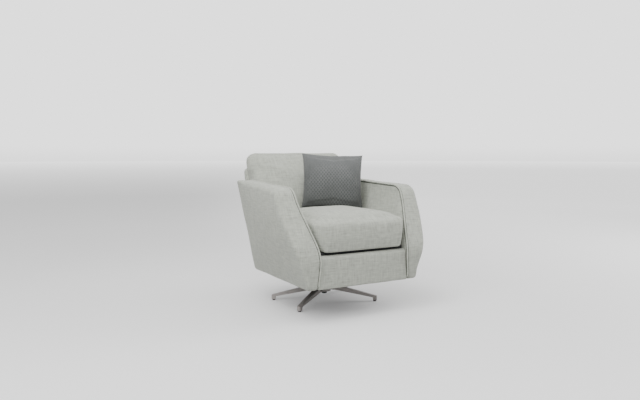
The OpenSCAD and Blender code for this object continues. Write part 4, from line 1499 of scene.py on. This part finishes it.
@dataclass(frozen=True)
class BackCushion:
    """The cushion sewn to the back rest, whose top nods forwards and hangs back over it."""

    crown: float = 30
    top_z: float = 798
    gap: float = 6
    nod: float = 60
    nod_from: float = 360
    tuck: float = 26
    tuck_run: float = 300
    spread: float = 9
    spread_from: float = 512
    overhang: float = 28
    lip_from: float = 33
    lip_run: float = 40
    ref: float = 300
    swell: float = 4
    radii: Sequence[float] = (14, 14, 46, 46)
    arcs: Sequence[int] = (6, 6, 14, 14)
    steps: Sequence[int] = (60, 50, 60, 50)
    cover: Cover = Cover(Stuffing(6.5, 3.5, 4.0, 4.0, 2.5, 0.02),
                         ((170, 3.0), (70, 1.4), (26, 0.4)), 41.0, 8, 3, 1.5)

    @property
    def front(self) -> float:
        """Depth of the front face's edge, from the outside back."""
        return FORM.cushion_rear - FORM.cushion_depth

    @property
    def foot(self) -> float:
        """Start of the cushion up the lean."""
        return (FORM.seat_z - FORM.body_z + FORM.cushion_rear * math.sin(FORM.lean)) / math.cos(FORM.lean)

    @property
    def head(self) -> float:
        """End of the cushion up the lean."""
        depth = (FORM.cushion_rear + self.front + self.nod + self.overhang) / 2
        return (self.top_z - FORM.body_z + depth * math.sin(FORM.lean)) / math.cos(FORM.lean)

    def ring(self, inset: float, factor: float, y: float) -> Points:
        """A ring of the cushion.

        Args:
            inset: how far it lies inside the cushion's outline.
            factor: its size, as a share.
            y: its depth, from the outside back.

        Returns:
            The ring's points.
        """
        r, foot, head, rear = self.ref, self.foot, self.head, FORM.cushion_rear
        outline = Outline(((-r, foot), (r, foot), (r, head), (-r, head)), self.radii, self.arcs, self.steps)
        p = outline.shrunk(inset, (0.0, (foot + head) / 2 + 20), factor)
        low = np.maximum(p[:, 1], foot)
        s = low + (y - rear) * math.tan(FORM.lean) * (1 - ease((low - foot) / 200))
        t = np.clip((rear - y) / FORM.cushion_depth, 0, 1)
        back = (y + t * self.nod * ease((s - self.nod_from) / (head - self.nod_from))
                + t * self.tuck * (1 - ease((s - foot) / self.tuck_run))
                + (1 - t) * self.overhang * ease((s - FORM.back_len - self.lip_from) / self.lip_run))
        half = FORM.back_half(s) - self.gap + self.spread * ease((s - self.spread_from) / 45)
        return FORM.leaned(p[:, 0] / r * half, back, s)

    def rings(self) -> list[Points]:
        """Control rings from the middle of the rear round to the middle of the front."""
        rear, front = FORM.cushion_rear, self.front
        places = [(12, f, rear) for f in (0.2, 0.4, 0.7, 1)]
        places += [(3, 1, rear - 4), (0, 1, rear - 14), (-self.swell, 1, (rear + front) / 2), (0, 1, front + 24),
                   (5, 1, front + 10), (20, 1, front)]
        places += [(20, f, front - self.crown * (1 - f * f)) for f in (0.85, 0.65, 0.4, 0.2)]
        return [self.ring(*place) for place in places]

    def build(self, wardrobe: Wardrobe) -> Piece:
        """Builds the cushion, with a seam round the rear of its rim.

        Args:
            wardrobe: the chair's cloth finishes.

        Returns:
            Its cover.
        """
        seam = path_smoothed(self.ring(-self.swell * 0.5, 1, FORM.cushion_rear - 36), 3.0)
        made = self.cover.made("back_cushion_cover", self.rings(), [seam])
        return dressed(made, wardrobe.cloth, "back_cushion")


@dataclass(frozen=True)
class ScatterCushion:
    """The loose knife-edged cushion with its diamond lattice, modelled in its own upright frame."""

    width: float = 349
    height: float = 313
    thickness: float = 118
    draw: float = 0.068
    turn: float = -24
    lean: float = 13
    roll: float = 1.9
    foot: Triple = (87.6, 59.6, 495.25)
    steps: int = 56
    rumple: Pairs = ((90, 2.0), (35, 0.9), (16, 0.3))
    stuffing: Stuffing = Stuffing(4.0, 2.0, 5.0, 3.0, 1.5, 0.03)

    def frame(self) -> Matrix:
        """The cushion's place in the chair."""
        made = Matrix.Translation(Vector(self.foot) * MM)
        for angle, axis in ((self.turn, "Z"), (-self.lean, "X"), (self.roll, "Y")):
            made = made @ Matrix.Rotation(math.radians(angle), 4, axis)
        return made

    def point(self, u: float, v: float, face: int) -> Triple:
        """A point of the front face, -1, or the rear one, 1, from its place across and up the cushion."""
        full = max(0.0, (1 - u * u) * (1 - v * v)) ** 0.45
        return (self.width / 2 * u * (1 - self.draw * (1 - v * v)), face * self.thickness / 2 * full,
                self.height / 2 * (1 + v * (1 - self.draw * (1 - u * u))))

    def skin(self) -> Piece:
        """Makes front and rear faces that share their edge points, which lie closer near the corners.

        Returns:
            The skin.
        """
        n = self.steps
        grade = [math.sin(math.pi / 2 * t) * 0.55 + t * 0.45 for t in (2 * k / n - 1 for k in range(n + 1))]
        points, index, faces = [], {}, []
        for face in (-1, 1):
            for j, v in enumerate(grade):
                for i, u in enumerate(grade):
                    if face > 0 and (i in (0, n) or j in (0, n)):
                        index[face, i, j] = index[-1, i, j]
                        continue
                    index[face, i, j] = len(points)
                    points.append(self.point(u, v, face))
        for j in range(n):
            for i in range(n):
                for face in (-1, 1):
                    quad = [index[face, a, b] for a, b in ((i, j), (i + 1, j), (i + 1, j + 1), (i, j + 1))]
                    faces.append(quad[::-face])
        return mesh_object("scatter_cushion_cover", np.array(points), faces)

    def build(self, wardrobe: Wardrobe, rests_on: Sequence[Piece]) -> None:
        """Builds the cushion in its own frame, then sets it in its place.

        Args:
            wardrobe: the chair's cloth finishes.
            rests_on: the covers that it stands on and leans against.
        """
        made = self.skin()
        self.stuffing.fill(made)
        modified(made, "SUBSURF", levels=1, render_levels=1)
        rumpled(made, self.rumple, 51.0)
        made.matrix_world = self.frame()
        bpy.context.view_layer.update()
        hollow = sunk_under(rests_on[0], made, 0.5, 38)
        pressed = clear_of(made, rests_on, 0.4)
        log.info("seat sinks %.1f mm under the scatter cushion, pressed at %d points", hollow, pressed)
        dressed(made, wardrobe.lattice, "scatter_cushion", Ride.SCATTER)


@dataclass(frozen=True)
class Hardware:
    """Finishes of the CAD nodes that stay as they are, and the direction of each leg in degrees."""

    metal: Triple = (174, 168, 165)
    beech: Triple = (201, 167, 119)
    legs: Sequence[tuple[str, float]] = (("leg_front_right", -32.7), ("leg_rear_right", 32.7),
                                         ("leg_rear_left", 147.3), ("leg_front_left", 212.7))

    def finishes(self) -> list[tuple[Finish, str]]:
        """Each finish with the names of the nodes that it dresses."""
        made = [(BrushedMetal(f"satin_{name}", self.metal, angle, 0.45, 0.12, 0.6), name)
                for name, angle in self.legs]
        return made + [
            (BrushedMetal("satin_hub", self.metal, 0, 0.45, 0.12, 0.6), "star_hub"),
            (BrushedMetal("zinc_steel", (168, 168, 170), 20, 0.3),
             "spindle spindle_washer retaining_washer swivel_tube plate_bolts arm_bolts back_bolts"),
            (BrushedMetal("black_steel", (58, 58, 60), 0, 0.42),
             "leg_screws spindle_nut retaining_clip swivel_plate"),
            (BrushedMetal("ground_steel", (130, 130, 134), 0, 0.25), "lower_race upper_race"),
            (BrushedMetal("polished_steel", (206, 207, 209), 0, 0.08, 0.02), "bearing_balls"),
            (BrushedMetal("brass_cage", (186, 150, 84), 0, 0.3), "ball_cage"),
            (BrushedMetal("oiled_wire", (82, 82, 86), 0, 0.35), "seat_springs"),
            (Moulding("natural_nylon", (230, 228, 220), 0.4), "swivel_bush spring_clips"),
            (Moulding("glide_plastic", (42, 42, 44), 0.5), "foot_glides"),
            (Timber("beech_along", self.beech, Grain.Y), "left_side_rail right_side_rail"),
            (Timber("beech_across", self.beech, Grain.X),
             "front_rail rear_rail front_bearer rear_bearer back_top_rail back_lumbar_rail"),
            (Timber("beech_upright", self.beech, Grain.Z), "left_back_post right_back_post corner_blocks"),
            (Timber("birch_plywood", (214, 186, 146), Grain.Z, True), "left_arm_panel right_arm_panel"),
            (Strap("elastic_webbing", (61, 63, 66)), "back_webbing"),
            (Felt("deck_cloth", (58, 58, 60)), "seat_deck"),
            (Felt("dust_cloth", (43, 43, 45), 3.2), "dust_cover"),
        ]

    def dress(self, nodes: dict[str, Piece]) -> None:
        """Gives every remaining CAD node its finish.

        Args:
            nodes: the CAD nodes by name.
        """
        for finish, names in self.finishes():
            material = finish.build()
            for name in names.split():
                nodes[name].data.materials.clear()
                nodes[name].data.materials.append(material)
            log.info("%s on %s", material.name, names)


@dataclass(frozen=True)
class Studio:
    """Camera, floor and lights. Levels are scene-linear; a softbox has its place, side and watts."""

    azimuth: float = -30.067857
    elevation: float = 4.332812
    aim: Triple = (0.0, -0.017, 0.0)
    slide_right: float = -0.030870
    slide_up: float = 0.550553
    distance: float = 3.381990
    focal_px: float = 620.328368
    frame_px: float = 640.0
    sensor: float = 36.0
    sky_levels: tuple[float, float] = (0.36, 1.31)
    wall_foot: tuple[float, float] = (-0.016, 0.014)
    wall_levels: tuple[float, float] = (1.8, 2.15)
    floor_radius: float = 60.0
    target: Triple = (0, 0, 0.4)
    softboxes: Sequence[tuple[str, Triple, float, float]] = (
        ("key", (-1.4, -0.4, 4.1), 2.0, 80), ("front", (-1.9, -2.9, 2.8), 2.0, 62),
        ("left", (-3.0, -1.2, 2.5), 1.8, 52), ("right", (3.8, -1.0, 2.4), 2.4, 104))

    def camera(self) -> None:
        """Places the camera at the photograph's viewpoint."""
        a, e = math.radians(self.azimuth), math.radians(self.elevation)
        back = Vector((math.sin(a) * math.cos(e), -math.cos(a) * math.cos(e), math.sin(e)))
        right = Vector((math.cos(a), math.sin(a), 0))
        up = back.cross(right)
        data = bpy.data.cameras.new("photograph")
        data.sensor_width, data.clip_end = self.sensor, 200
        data.lens = self.focal_px / self.frame_px * self.sensor
        made = bpy.data.objects.new("photograph", data)
        bpy.context.scene.collection.objects.link(made)
        made.matrix_world = Matrix((right, up, back)).transposed().to_4x4()
        made.location = Vector(self.aim) + right * self.slide_right + up * self.slide_up + back * self.distance
        bpy.context.scene.camera = made

    def floor(self) -> None:
        """Lays a wide round floor."""
        turn = circle(96)
        rim = np.stack([np.cos(turn), np.sin(turn), 0 * turn], 1) * self.floor_radius / MM
        made = mesh_object("studio_floor", rim, [list(range(96))])
        made.data.materials.append(StudioFloor().build())

    def surround(self) -> None:
        """Sets an even surrounding light, behind which the backdrop itself is brighter."""
        sheet = Sheet(bpy.data.worlds.new("studio"))
        bpy.context.scene.world = sheet.owner
        height = sheet.split("Generated")[2]
        sky = height.step_between(0, 1).blend(*self.sky_levels)
        wall = height.step_between(*self.wall_foot).blend(*self.wall_levels)
        level = sheet.shade("ShaderNodeLightPath", output="Is Camera Ray").blend(sky, wall)
        light = sheet.shade("ShaderNodeBackground", {"Color": (1, 1, 1, 1), "Strength": level})
        sheet.node("ShaderNodeOutputWorld", {0: light})

    def lights(self) -> None:
        """Sets the surrounding light and hangs the square softboxes."""
        self.surround()
        for name, place, side, watts in self.softboxes:
            data = bpy.data.lights.new(name, "AREA")
            data.size, data.energy = side, watts
            made = bpy.data.objects.new(name, data)
            bpy.context.scene.collection.objects.link(made)
            made.location = place
            made.rotation_euler = (Vector(self.target) - Vector(place)).to_track_quat("-Z", "Y").to_euler()


def main() -> None:
    """Builds the chair's looks in order and reports each piece."""
    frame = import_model()
    studio = Studio()
    studio.camera()
    grey_green = (164, 167, 157)
    wardrobe = Wardrobe(
        cloth=WovenCloth("linen_weave", grey_green).build(),
        # the cord is 5% lighter than the cloth: a painted highlight along the piping
        cord=WovenCloth("linen_bias_cord", scaled(grey_green, 1.05), bias=45, contrast=1.2).build(),
        lattice=LatticeCloth("lattice_cloth").build(),
        # the dark seam thread is partly painted shade along the arms' inner edges
        thread=Moulding("seam_thread", (88, 90, 84), 0.85).build(),
    )
    for side in Side:
        Arm(side).build(wardrobe)
    FrontBorder().build(wardrobe)
    BackPanels().build(wardrobe)
    seat = SeatCushion().build(wardrobe)
    back = BackCushion().build(wardrobe)
    ScatterCushion().build(wardrobe, [seat, back])
    Hardware().dress(frame["nodes"])
    studio.floor()
    studio.lights()


if __name__ == "__main__":
    main()
